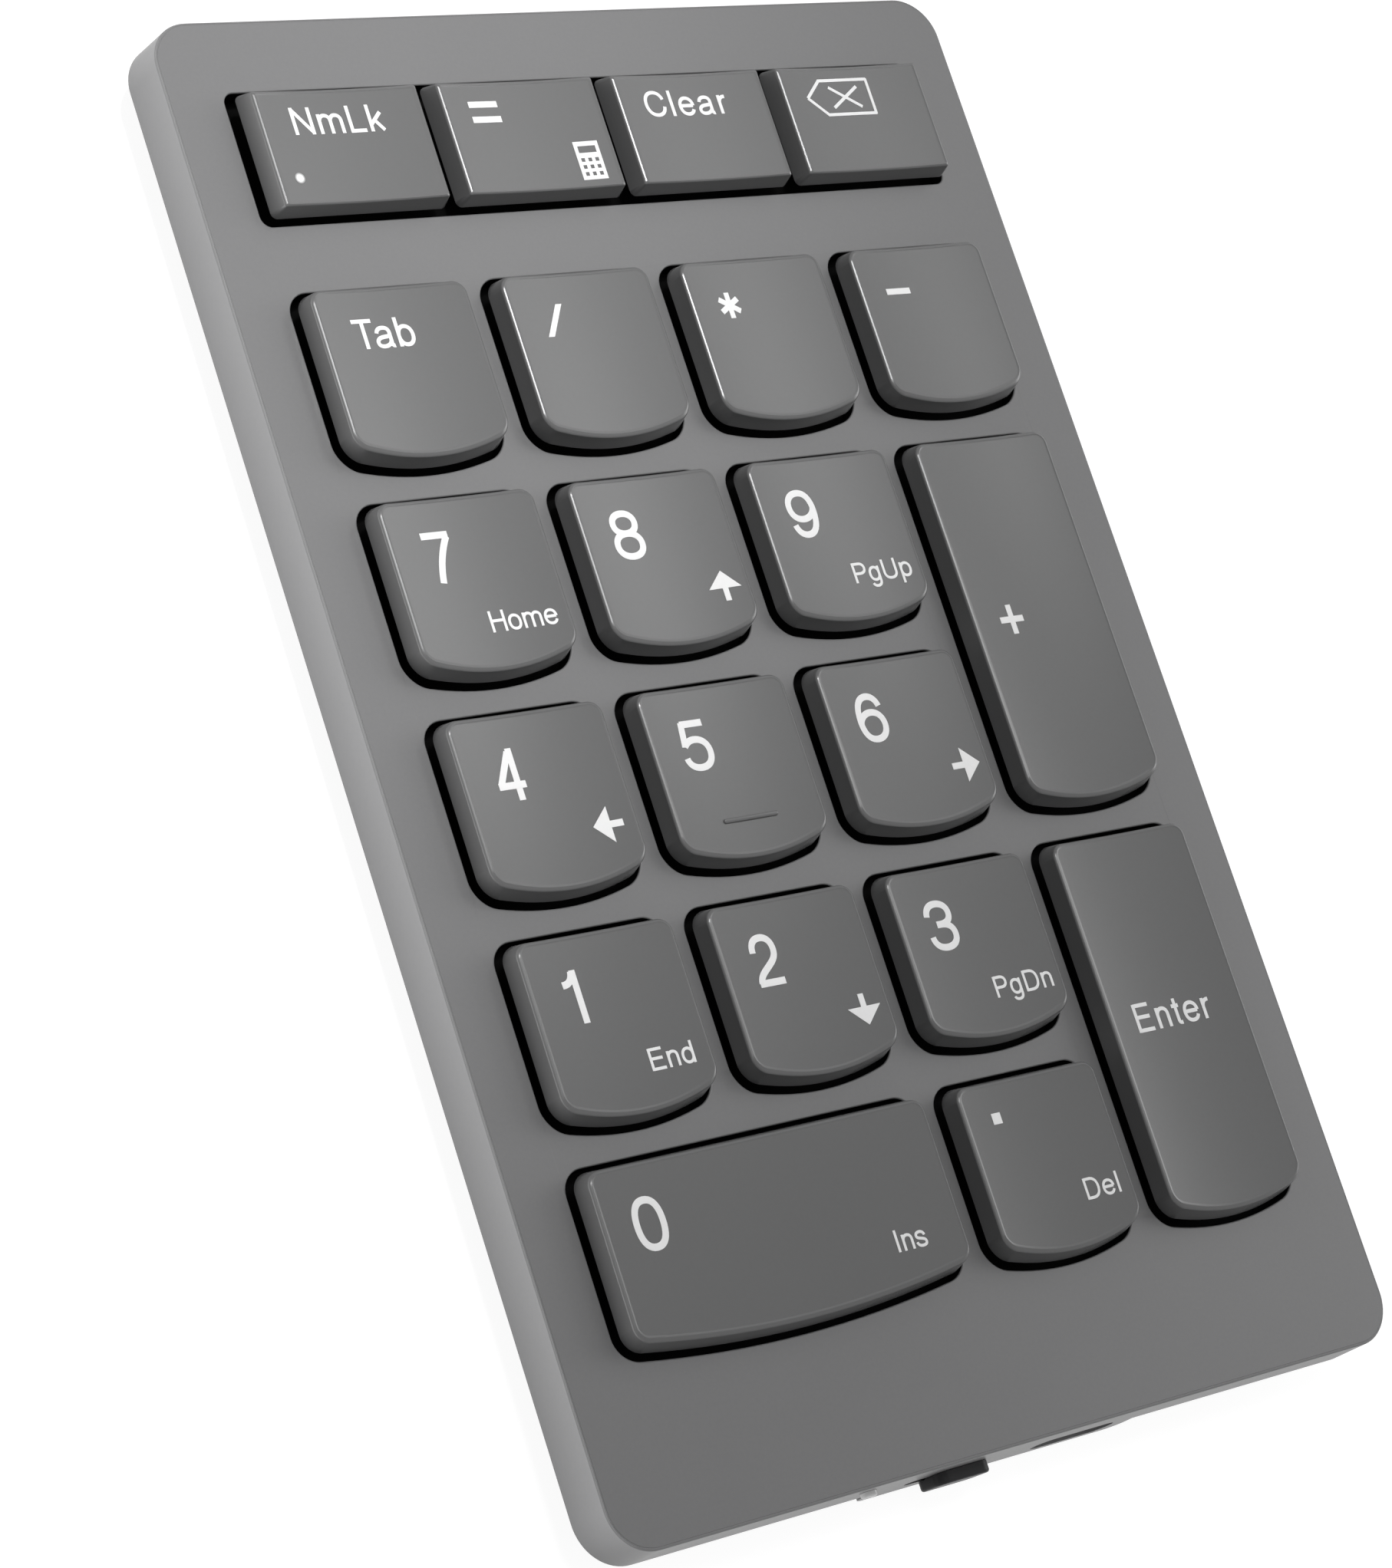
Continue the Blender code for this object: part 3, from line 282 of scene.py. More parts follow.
class KeypadCaseSizes(bpy.types.PropertyGroup):
    """Sizes of the case."""

    corner_radius: length("Corner radius", "Radius of the case's corners seen from above", 4.0)
    edge_bead: length("Edge bead", "Width of the fine bead between the deck and the side wall", 0.27)
    wall: length("Wall", "Thickness of the side wall", 1.4)
    draft: number("Draft", "How far the side wall leans out for each unit of depth", 0.05)
    deck_thickness: length("Deck thickness", "Thickness of the deck", 1.6)
    side_height: length("Side height", "Height of the side wall beside the apron", 4.65)
    apron_width: length("Apron width", "Width of the deeper middle of the front wall", 29.2)
    apron_round: length("Apron rounding", "Radius at the apron's lower corners", 1.6)
    rim_fillet: length("Well rim fillet", "Rounding of the deck at the key wells", 0.14)
    slot_radius: length("Slot radius", "Corner radius of the slot of the first key row", 1.0)


class KeypadKeySizes(bpy.types.PropertyGroup):
    """Sizes of the keycaps."""

    clearance: length("Clearance", "Gap between a keycap and its well", 0.46)
    bulge: length("Bow", "How far the front edge bows out", 1.45)
    back_radius: length("Back corner radius", "Radius of a well's back corners", 2.0)
    front_radius: length("Front corner radius", "Radius of a well's front corners", 2.0)
    function_radius: length("First row corner radius", "Corner radius of the keys of the first row", 0.6)
    wall_slope: number("Wall slope", "How far the walls lean in for each unit of height", 0.18)
    function_slope: number("First row wall slope", "Wall slope of the keys of the first row", 0.3)
    function_trim: length(
        "First row trim", "How far the first row's left walls stand in from their solids", 0.42)
    front_slope: number("Front slope", "Lean of the front wall against that of the others", 1.3)
    function_front: number(
        "First row front slope", "Lean of the first row's front walls against the others", 0.62)
    shoulder_radius: length("Shoulder radius", "Rounding between a keycap's wall and its lip", 0.26)
    lip_width: length("Lip width", "Width of the flat lip round a keycap's top", 0.11)
    lip_tilt: number("Lip tilt", "How far the lip tilts outwards", math.radians(25.5), subtype="ANGLE")
    crest_radius: length("Crest radius", "Rounding between the lip and the rim", 0.05)
    rim_width: length("Rim width", "Width of the fall from the rim to the dish", 0.16)
    rim_drop: length("Rim drop", "Height of the rim above the dish", 0.03)
    dish: length("Dish", "Depth of the dish across a keycap", 0.25)
    cap_wall: length("Cap wall", "Thickness of a keycap's wall at its foot", 0.9)
    cavity: length("Cavity", "Height of the hollow under a keycap", 0.82)
    legend_pen: number("Legend pen", "Pen width of the legends for each unit of capital height", 0.135)
    legend_film: length("Legend film", "Thickness of the printed legends", 0.04)


class KeypadColours(bpy.types.PropertyGroup):
    """Colours of the visible pieces."""

    case: colour("Case", "Colour of the case", 0.150, 0.150, 0.152)
    key: colour("Keys", "Colour of the keycaps", 0.105, 0.105, 0.106)
    legend: colour("Legends", "Colour of the printed legends", 0.84, 0.84, 0.84)
    cover: colour("Cover", "Colour of the bottom cover", 0.105, 0.105, 0.107)
    knob: colour("Knob", "Colour of the switch knob", 0.008, 0.008, 0.009)


class KeypadStageSizes(bpy.types.PropertyGroup):
    """Light and camera."""

    camera_place: bpy.props.FloatVectorProperty(
        name="Camera place", description="Where the camera stands", subtype="TRANSLATION", unit="LENGTH",
        size=3, default=(-0.2306309, -0.07910033, 0.29345405), precision=6)
    camera_turn: bpy.props.FloatVectorProperty(
        name="Camera turn", description="How the camera is turned", subtype="EULER", unit="ROTATION",
        size=3, default=tuple(math.radians(angle) for angle in (24.07751, -31.54458, -20.77266)))
    lens: number("Lens", "Focal length in millimetres", 101.109)
    shift_x: number("Shift across", "Sideways shift of the frame", 0.01908)
    shift_y: number("Shift up", "Upward shift of the frame", -0.02885)
    light_level: number("Light level", "Level of all the lamps together", 1.0, min=0.0)
    ambient: number("Ambient", "Level of the light from all round", 0.3, min=0.0)


def setting(group):
    """One group of sizes or colours of the open scene."""
    return getattr(bpy.context.scene, group)


def node_box(node):
    """Middle, size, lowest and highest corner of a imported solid."""
    low, high = (Vector(corner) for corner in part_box(node))
    return Box((low + high) / 2, high - low, low, high)


def key_box(name):
    """Middle, size and corners of a key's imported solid."""
    return node_box(f"key_{name}")


def to_mesh(name, builder):
    """Turn a bmesh into a mesh."""
    mesh = bpy.data.meshes.new(name)
    builder.to_mesh(mesh)
    builder.free()
    return mesh


def new_mesh(name, builder):
    """Turn a bmesh into a mesh whose faces point outwards."""
    bmesh.ops.recalc_face_normals(builder, faces=builder.faces)
    return to_mesh(name, builder)


def add_ring(builder, points):
    """Vertices of one closed outline."""
    return [builder.verts.new(point) for point in points]


def add_bands(builder, outlines):
    """Rings through outlines of as many points, joined one to the next by quads."""
    rings = [add_ring(builder, points) for points in outlines]
    for ring_a, ring_b in zip(rings, rings[1:]):
        for index in range(len(ring_a)):
            after = (index + 1) % len(ring_a)
            builder.faces.new((ring_a[index], ring_a[after], ring_b[after], ring_b[index]))
    return rings


def add_ladder(builder, ring):
    """Close a ring whose back half and front half match point by point."""
    half = len(ring) // 2
    for index in range(half - 1):
        builder.faces.new((ring[index], ring[index + 1], ring[-index - 2], ring[-index - 1]))


def solids_mesh(name, *stacks):
    """Closed solids, each through outlines of as many points and capped at both ends."""
    builder = bmesh.new()
    for outlines in stacks:
        rings = add_bands(builder, outlines)
        builder.faces.new(rings[0])
        builder.faces.new(rings[-1])
    return new_mesh(name, builder)


def ring_edges(builder, ring):
    """Edges round a ring."""
    pairs = zip(ring, ring[1:] + ring[:1])
    return [builder.edges.get(pair) or builder.edges.new(pair) for pair in pairs]


def lay_flat(outline, z):
    """An outline of x and y at one height."""
    return [(x, y, z) for x, y in outline]


def stand_up(outline, y):
    """An outline of x and z in one upright plane across the keypad."""
    return [(x, y, z) for x, z in outline]


def circle(x, y, radius, steps):
    """Points of a circle."""
    turns = [2 * math.pi * step / steps for step in range(steps)]
    return [(x + radius * math.cos(turn), y + radius * math.sin(turn)) for turn in turns]


def rounded_rectangle(x_low, x_high, y_low, y_high, radius, steps=8):
    """A rectangle with round corners."""
    centres = (
        (x_high - radius, y_high - radius), (x_low + radius, y_high - radius),
        (x_low + radius, y_low + radius), (x_high - radius, y_low + radius),
    )
    points = []
    for corner, (x, y) in enumerate(centres):
        for step in range(steps + 1):
            angle = math.pi / 2 * (corner + step / steps)
            points.append((x + radius * math.cos(angle), y + radius * math.sin(angle)))
    return points


def round_ended(middle_a, middle_b, width, tall, steps=20):
    """A slot outline with half-round ends."""
    radius = tall / 2
    reach = width / 2 - radius
    points = []
    for side in (1, -1):
        for step in range(steps + 1):
            angle = math.pi * (step / steps - 0.5)
            points.append((
                middle_a + side * (reach + radius * math.cos(angle)),
                middle_b + side * radius * math.sin(angle)))
    return points


def quarter_round(radius, steps=5):
    """Pairs of inset and depth along a rounded edge, from the flat to the wall."""
    angles = [math.pi / 2 * step / steps for step in range(steps + 1)]
    return [(radius * (1 - math.sin(angle)), radius * (1 - math.cos(angle))) for angle in angles]


def link(name, mesh):
    """Put a mesh in the scene at the origin."""
    piece = bpy.data.objects.new(name, mesh)
    bpy.context.scene.collection.objects.link(piece)
    return piece


def bake(piece):
    """Turn a piece's modifiers into its plain mesh."""
    bpy.context.view_layer.update()
    evaluated = piece.evaluated_get(bpy.context.evaluated_depsgraph_get())
    mesh = bpy.data.meshes.new_from_object(evaluated)
    piece.modifiers.clear()
    piece.data = mesh


def smooth(piece, sharp_angle):
    """Smooth shading, with edges sharper than the angle kept and broad faces kept flat."""
    piece.data.shade_smooth()
    piece.data.set_sharp_from_angle(angle=math.radians(sharp_angle))
    weighted = piece.modifiers.new("weighted_normals", "WEIGHTED_NORMAL")
    weighted.keep_sharp = True
    weighted.weight = 80
    bake(piece)


def loft(name, outlines, sharp_angle):
    """A closed piece through outlines, smoothly shaded."""
    piece = link(name, solids_mesh(name, outlines))
    smooth(piece, sharp_angle)
    return piece


def cut(piece, mesh):
    """Cut a helper solid out of a piece."""
    helper = link("helper", mesh)
    modifier = piece.modifiers.new("cut", "BOOLEAN")
    modifier.operation = "DIFFERENCE"
    modifier.solver = "EXACT"
    modifier.object = helper
    bake(piece)
    bpy.data.objects.remove(helper, do_unlink=True)


def solid_copy(node):
    """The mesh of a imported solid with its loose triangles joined, still open to editing."""
    builder, weld = bmesh.new(), 0.002 * MM
    builder.from_mesh(frame["nodes"][node].data)
    bmesh.ops.remove_doubles(builder, verts=builder.verts, dist=weld)
    return builder


def dress(piece, material, body, slot, *nodes):
    """Give a piece its finish, the body it rides on and the solids it stands for."""
    piece.data.materials.clear()
    piece.data.materials.append(material)
    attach(piece, body)
    if nodes:
        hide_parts(*nodes)


def node_group(name, kind, inputs, outputs):
    """A new node group: its inputs with their kinds and first values, its outputs with their kinds."""
    tree = bpy.data.node_groups.new(name, kind)
    for socket, (socket_kind, value) in inputs.items():
        made = tree.interface.new_socket(socket, in_out="INPUT", socket_type=f"NodeSocket{socket_kind}")
        if value is not None:
            made.default_value = value
    for socket, socket_kind in outputs.items():
        tree.interface.new_socket(socket, in_out="OUTPUT", socket_type=f"NodeSocket{socket_kind}")
    return tree


def add_node(tree, kind, inputs=None, **settings):
    """A node with its settings and inputs.

    An input is a value, an output of another node, a node whose first output is meant, or a list of these.
    """
    node = tree.nodes.new(kind)
    for name, value in settings.items():
        setattr(node, name, value)
    for socket, given in (inputs or {}).items():
        for value in given if isinstance(given, list) else [given]:
            if isinstance(value, bpy.types.Node):
                tree.links.new(value.outputs[0], node.inputs[socket])
            elif isinstance(value, bpy.types.NodeSocket):
                tree.links.new(value, node.inputs[socket])
            else:
                node.inputs[socket].default_value = value
    return node


def grain_group():
    """Node group: the fine moulded grain of a plastic or rubber surface."""
    name, detail, cell_share = "moulded_grain", 2.0, 0.5
    tree = bpy.data.node_groups.get(name)
    if tree:
        return tree
    tree = node_group(
        name, "ShaderNodeTree", {"Scale": ("Float", 3000.0)}, {"Height": "Float", "Speck": "Float"})
    scale = add_node(tree, "NodeGroupInput").outputs["Scale"]
    place = add_node(tree, "ShaderNodeTexCoord").outputs["Object"]
    fine = add_node(tree, "ShaderNodeTexNoise", {"Vector": place, "Scale": scale, "Detail": detail})
    cells = add_node(tree, "ShaderNodeTexVoronoi", {"Vector": place, "Scale": scale}, feature="SMOOTH_F1")
    height = add_node(tree, "ShaderNodeMath", {0: cells, 1: cell_share, 2: fine}, operation="MULTIPLY_ADD")
    add_node(tree, "NodeGroupOutput", {"Height": height, "Speck": fine})
    return tree


def handling_group():
    """Node group: slow changes of shade and gloss where a surface is handled."""
    name, scale, detail, least, most = "handled_surface", 45.0, 3.0, 0.6, 1.4
    tree = bpy.data.node_groups.get(name)
    if tree:
        return tree
    tree = node_group(name, "ShaderNodeTree", {
        "Colour": ("Color", (0.2, 0.2, 0.2, 1.0)), "Shade": ("Float", 0.05), "Roughness": ("Float", 0.4),
        "Polish": ("Float", 0.05), "Speck": ("Float", 0.5)}, {"Colour": "Color", "Roughness": "Float"})
    given = add_node(tree, "NodeGroupInput").outputs
    place = add_node(tree, "ShaderNodeTexCoord").outputs["Object"]
    slow = add_node(tree, "ShaderNodeTexNoise", {"Vector": place, "Scale": scale, "Detail": detail})
    mixed = add_node(tree, "ShaderNodeMath", {0: slow, 1: given["Speck"]}, operation="ADD")
    change = add_node(tree, "ShaderNodeMapRange", {
        "Value": mixed, "From Min": least, "From Max": most, "To Min": -1.0, "To Max": 1.0})
    shade = add_node(
        tree, "ShaderNodeMath", {0: change, 1: given["Shade"], 2: 1.0}, operation="MULTIPLY_ADD")
    tint = add_node(tree, "ShaderNodeVectorMath", {0: given["Colour"], "Scale": shade}, operation="SCALE")
    polish = add_node(tree, "ShaderNodeMath", {
        0: change, 1: given["Polish"], 2: given["Roughness"]}, operation="MULTIPLY_ADD")
    add_node(tree, "NodeGroupOutput", {"Colour": tint, "Roughness": polish})
    return tree


def finish(name):
    """A procedural finish: moulded grain as bump, with shade and gloss that vary over the surface."""
    material = bpy.data.materials.get(name)
    if material:
        return material
    shade, roughness, differing = FINISHES[name]
    if isinstance(shade, str):
        shade = getattr(setting("keypad_colours"), shade)
    look = {**PLAIN_MOULDING, **differing}
    material = bpy.data.materials.new(name)
    material.use_nodes = True
    tree = material.node_tree
    shader = tree.nodes["Principled BSDF"].inputs
    shader["Metallic"].default_value = look["metallic"]
    shader["Specular IOR Level"].default_value = look["specular"]
    texture = add_node(tree, "ShaderNodeGroup", {"Scale": look["grain"]}, node_tree=grain_group())
    handled = add_node(tree, "ShaderNodeGroup", {
        "Colour": (*shade, 1.0), "Shade": look["shade"], "Roughness": roughness, "Polish": look["polish"],
        "Speck": texture.outputs["Speck"]}, node_tree=handling_group())
    tree.links.new(handled.outputs["Colour"], shader["Base Color"])
    tree.links.new(handled.outputs["Roughness"], shader["Roughness"])
    if look["bump"]:
        relief = add_node(tree, "ShaderNodeBump", {
            "Strength": look["bump"], "Distance": look["depth"], "Height": texture.outputs["Height"]})
        tree.links.new(relief.outputs["Normal"], shader["Normal"])
    return material


def key_outline(width, depth, bulge, back_radius, front_radius, inset=0.0, front_inset=None):
    """Outline round a key's middle: straight at the back, bowed at the front.

    The back half runs left to right and the front half right to left, point for point.
    """
    corner_steps, middle_steps, least_radius = 9, 16, 0.2 * MM
    front_inset = inset if front_inset is None else front_inset
    half = width / 2 - inset
    back = depth / 2 - inset
    front = -depth / 2 + front_inset
    back_corner = max(back_radius - inset, least_radius)
    front_corner = max(front_radius - inset, least_radius)
    flat = half - front_corner
    corner = [
        flat + front_corner * math.cos(math.pi / 2 * step / corner_steps) for step in range(corner_steps)]
    middle = [flat * (1 - 2 * step / middle_steps) for step in range(middle_steps + 1)]
    right_to_left = corner + middle + [-x for x in reversed(corner)]

    def corner_drop(x, radius):
        along = max(0.0, abs(x) - (half - radius))
        return radius - math.sqrt(max(0.0, radius * radius - along * along))

    back_points = [(x, back - corner_drop(x, back_corner)) for x in reversed(right_to_left)]
    front_points = [
        (x, front + bulge * (x / half) ** 2 + corner_drop(x, front_corner)) for x in right_to_left]
    return back_points + front_points


def key_form(name):
    """Width, depth, bow and corner radii of a keycap at its foot."""
    sizes = setting("keypad_keys")
    size = key_box(name).size
    if name in FUNCTION_KEYS:
        return size.x - sizes.function_trim, size.y, 0.0, sizes.function_radius, sizes.function_radius
    return (size.x, size.y, sizes.bulge, sizes.back_radius - sizes.clearance,
            sizes.front_radius - sizes.clearance)


def key_shift(name):
    """How far a keycap's middle lies to the right of its solid's."""
    return setting("keypad_keys").function_trim / 2 if name in FUNCTION_KEYS else 0.0


def key_profile(name):
    """Rings of a keycap's outside from foot to dish: inset, rise and share of the dish."""
    sizes, tall = setting("keypad_keys"), key_box(name).size.z
    foot, foot_share, shoulder_steps, crest_steps, rim_steps = 0.1 * MM, 0.3, 6, 3, 3
    slope = sizes.function_slope if name in FUNCTION_KEYS else sizes.wall_slope
    wall_turn, lip_turn = math.atan(slope), math.pi / 2 - sizes.lip_tilt
    shoulder, crest, lip = sizes.shoulder_radius, sizes.crest_radius, sizes.lip_width
    crest_rise = tall - crest
    lip_rise = crest_rise + crest * math.sin(lip_turn) - lip * math.cos(lip_turn)
    shoulder_rise = lip_rise - shoulder * math.sin(lip_turn)
    wall_inset = slope * (shoulder_rise + shoulder * math.sin(wall_turn))
    shoulder_inset = wall_inset + shoulder * math.cos(wall_turn)
    lip_inset = shoulder_inset - shoulder * math.cos(lip_turn)
    crest_inset = lip_inset + lip * math.sin(lip_turn) + crest * math.cos(lip_turn)
    rings = [(foot, 0.0, 0.0), (foot * foot_share, foot * foot_share, 0.0), (slope * foot, foot, 0.0)]
    for step in range(shoulder_steps + 1):
        turn = wall_turn + (lip_turn - wall_turn) * step / shoulder_steps
        rings.append((
            shoulder_inset - shoulder * math.cos(turn), shoulder_rise + shoulder * math.sin(turn), 1.0))
    for step in range(crest_steps + 1):
        turn = lip_turn + (math.pi / 2 - lip_turn) * step / crest_steps
        rings.append((crest_inset - crest * math.cos(turn), crest_rise + crest * math.sin(turn), 1.0))
    for step in range(1, rim_steps + 1):
        share = step / rim_steps
        fall = sizes.rim_drop * (3 - 2 * share) * share * share
        rings.append((crest_inset + sizes.rim_width * share, tall - fall, 1.0))
    return rings


def dish_height(name, x):
    """Height of a keycap's dished top above its foot, at a distance from its solid's middle."""
    inset, rise, _ = key_profile(name)[-1]
    half = key_form(name)[0] / 2 - inset
    return rise - setting("keypad_keys").dish * (1 - min(1.0, abs(x - key_shift(name)) / half) ** 2)


def keycap_mesh(name):
    """A hollow keycap: leaning walls, rounded lip, narrow rim and a top dished from side to side."""
    sizes, box, form = setting("keypad_keys"), key_box(name), key_form(name)
    centre = box.middle.x + key_shift(name)
    front_slope = sizes.function_front if name in FUNCTION_KEYS else sizes.front_slope

    def ring_at(inset, rise, dish):
        outline = key_outline(*form, inset, inset * front_slope)
        half = form[0] / 2 - inset
        return [
            (centre + x, box.middle.y + y, box.low.z + rise - dish * (1 - (x / half) ** 2))
            for x, y in outline]

    builder = bmesh.new()
    outside = [ring_at(inset, rise, sizes.dish * share) for inset, rise, share in key_profile(name)]
    inside = [ring_at(sizes.cap_wall, sizes.cavity, 0.0), ring_at(sizes.cap_wall, 0.0, 0.0)]
    rings = add_bands(builder, inside + outside)
    add_ladder(builder, rings[-1])
    add_ladder(builder, rings[0])
    return new_mesh(f"keycap_{name}", builder)


class KEYPAD_OT_keycaps(bpy.types.Operator):
    """Build the keycaps"""

    bl_idname = "keypad.keycaps"
    bl_label = "Keycaps"

    def execute(self, context):
        for name in KEYS:
            piece = link(f"keycap_{name}", keycap_mesh(name))
            smooth(piece, sharp_angle=50)
            dress(piece, finish("key_satin"), f"key_{name}", "key", f"key_{name}")
        self.homing_bar()
        return {"FINISHED"}

    def homing_bar(self):
        """Low bar by which a finger finds the middle key."""
        left, right, y, half, rise, sink = -2.6 * MM, 2.7 * MM, -4.25 * MM, 0.22 * MM, 0.2 * MM, 0.15 * MM
        section = ((1.0, -sink), (1.0, 0.0), (0.85, 0.6 * rise), (0.55, 0.9 * rise), (0.2, rise))
        nearly_round = 0.999
        box, outlines = key_box("five"), []
        for share, lift in section:
            reach = half * share
            shape = rounded_rectangle(
                left - reach, right + reach, y - reach, y + reach, reach * nearly_round)
            outlines.append([
                (box.middle.x + px, box.middle.y + py, box.low.z + dish_height("five", px) + lift)
                for px, py in shape])
        piece = loft("homing_bar", outlines, sharp_angle=60)
        dress(piece, finish("key_satin"), "key_five", "key")


def pen_strokes(path, steps=10):
    """Points of each stroke of a path written with M, L, C and Z."""
    words = path.split()
    strokes, index = [], 0
    while index < len(words):
        command = words[index]
        index += 1
        if command == "Z":
            strokes[-1].append(strokes[-1][0])
            continue
        count = 6 if command == "C" else 2
        numbers = [float(word) for word in words[index:index + count]]
        index += count
        if command == "M":
            strokes.append([tuple(numbers)])
        elif command == "L":
            strokes[-1].append(tuple(numbers))
        else:
            corners = [strokes[-1][-1]] + list(zip(numbers[0::2], numbers[1::2]))
            for step in range(1, steps + 1):
                t = step / steps
                shares = ((1 - t) ** 3, 3 * t * (1 - t) ** 2, 3 * t * t * (1 - t), t ** 3)
                strokes[-1].append(tuple(
                    sum(share * corner[axis] for share, corner in zip(shares, corners)) for axis in (0, 1)))
    return strokes


def word_strokes(word, left, base, cap, width):
    """Strokes of a word set to a width, in millimetres from the key's middle."""
    pen = setting("keypad_keys").legend_pen
    inked = [pen_strokes(GLYPHS[letter][1]) for letter in word]
    advances = [GLYPHS[letter][0] for letter in word]
    first = min(x for stroke in inked[0] for x, _ in stroke) - pen / 2
    last = max(x for stroke in inked[-1] for x, _ in stroke) + pen / 2
    natural = sum(advances[:-1]) + last - first
    gaps = len(word) - 1
    tracking = (width / cap - natural) / gaps if gaps else 0.0
    stretch = 1.0 if gaps else width / cap / natural
    strokes, pen_x = [], -first
    for letter, advance in zip(inked, advances):
        for stroke in letter:
            strokes.append([(left + cap * stretch * (pen_x + x), base + cap * y) for x, y in stroke])
        pen_x += advance + tracking
    return strokes


def calculator_patches():
    """Cells of the calculator mark."""
    cells = []
    for column, (left, right) in enumerate(zip(CALCULATOR_COLUMNS, CALCULATOR_COLUMNS[1:])):
        for row, (base, top) in enumerate(zip(CALCULATOR_ROWS, CALCULATOR_ROWS[1:])):
            if (column, row) not in CALCULATOR_OPEN:
                cells.append(((left, base), (right, base), (right, top), (left, top)))
    return cells


def print_tree():
    """Geometry Nodes: pen lines become flat strips and faces become thin plates."""
    name, weld = "printed_legend", 0.001 * MM
    tree = bpy.data.node_groups.get(name)
    if tree:
        return tree
    tree = node_group(name, "GeometryNodeTree", {
        "Geometry": ("Geometry", None), "Pen": ("Float", 0.3 * MM), "Film": ("Float", 0.06 * MM),
        "Print": ("Material", None)}, {"Geometry": "Geometry"})
    given = add_node(tree, "NodeGroupInput").outputs
    faces = add_node(tree, "GeometryNodeInputMeshEdgeNeighbors")
    is_line = add_node(tree, "FunctionNodeCompare", {2: faces}, data_type="INT", operation="EQUAL")
    lines = add_node(tree, "GeometryNodeMeshToCurve", {"Mesh": given["Geometry"], "Selection": is_line})
    level = add_node(tree, "GeometryNodeSetCurveNormal", {"Curve": lines}, mode="Z_UP")
    section = add_node(
        tree, "GeometryNodeCurvePrimitiveQuadrilateral", {"Width": given["Pen"], "Height": given["Film"]})
    strips = add_node(
        tree, "GeometryNodeCurveToMesh", {"Curve": level, "Profile Curve": section, "Fill Caps": True})
    shapes = add_node(tree, "GeometryNodeDeleteGeometry", {
        "Geometry": given["Geometry"], "Selection": is_line}, domain="EDGE")
    raised = add_node(tree, "GeometryNodeExtrudeMesh", {
        "Mesh": shapes, "Offset Scale": given["Film"], "Individual": False}, mode="FACES")
    under = add_node(tree, "GeometryNodeFlipFaces", {"Mesh": shapes})
    plates = add_node(tree, "GeometryNodeJoinGeometry", {"Geometry": [under, raised]})
    welded = add_node(tree, "GeometryNodeMergeByDistance", {"Geometry": plates, "Distance": weld})
    both = add_node(tree, "GeometryNodeJoinGeometry", {"Geometry": [strips, welded]})
    real = add_node(tree, "GeometryNodeRealizeInstances", {"Geometry": both})
    inked = add_node(tree, "GeometryNodeSetMaterial", {"Geometry": real, "Material": given["Print"]})
    add_node(tree, "NodeGroupOutput", {"Geometry": inked})
    return tree


def run_tree(piece, tree, **values):
    """Run a Geometry Nodes tree on a piece and keep its result as a plain mesh."""
    modifier = piece.modifiers.new(tree.name, "NODES")
    modifier.node_group = tree
    named = {item.name: item.identifier for item in tree.interface.items_tree if item.in_out == "INPUT"}
    for name, value in values.items():
        modifier[named[name]] = value
    bake(piece)


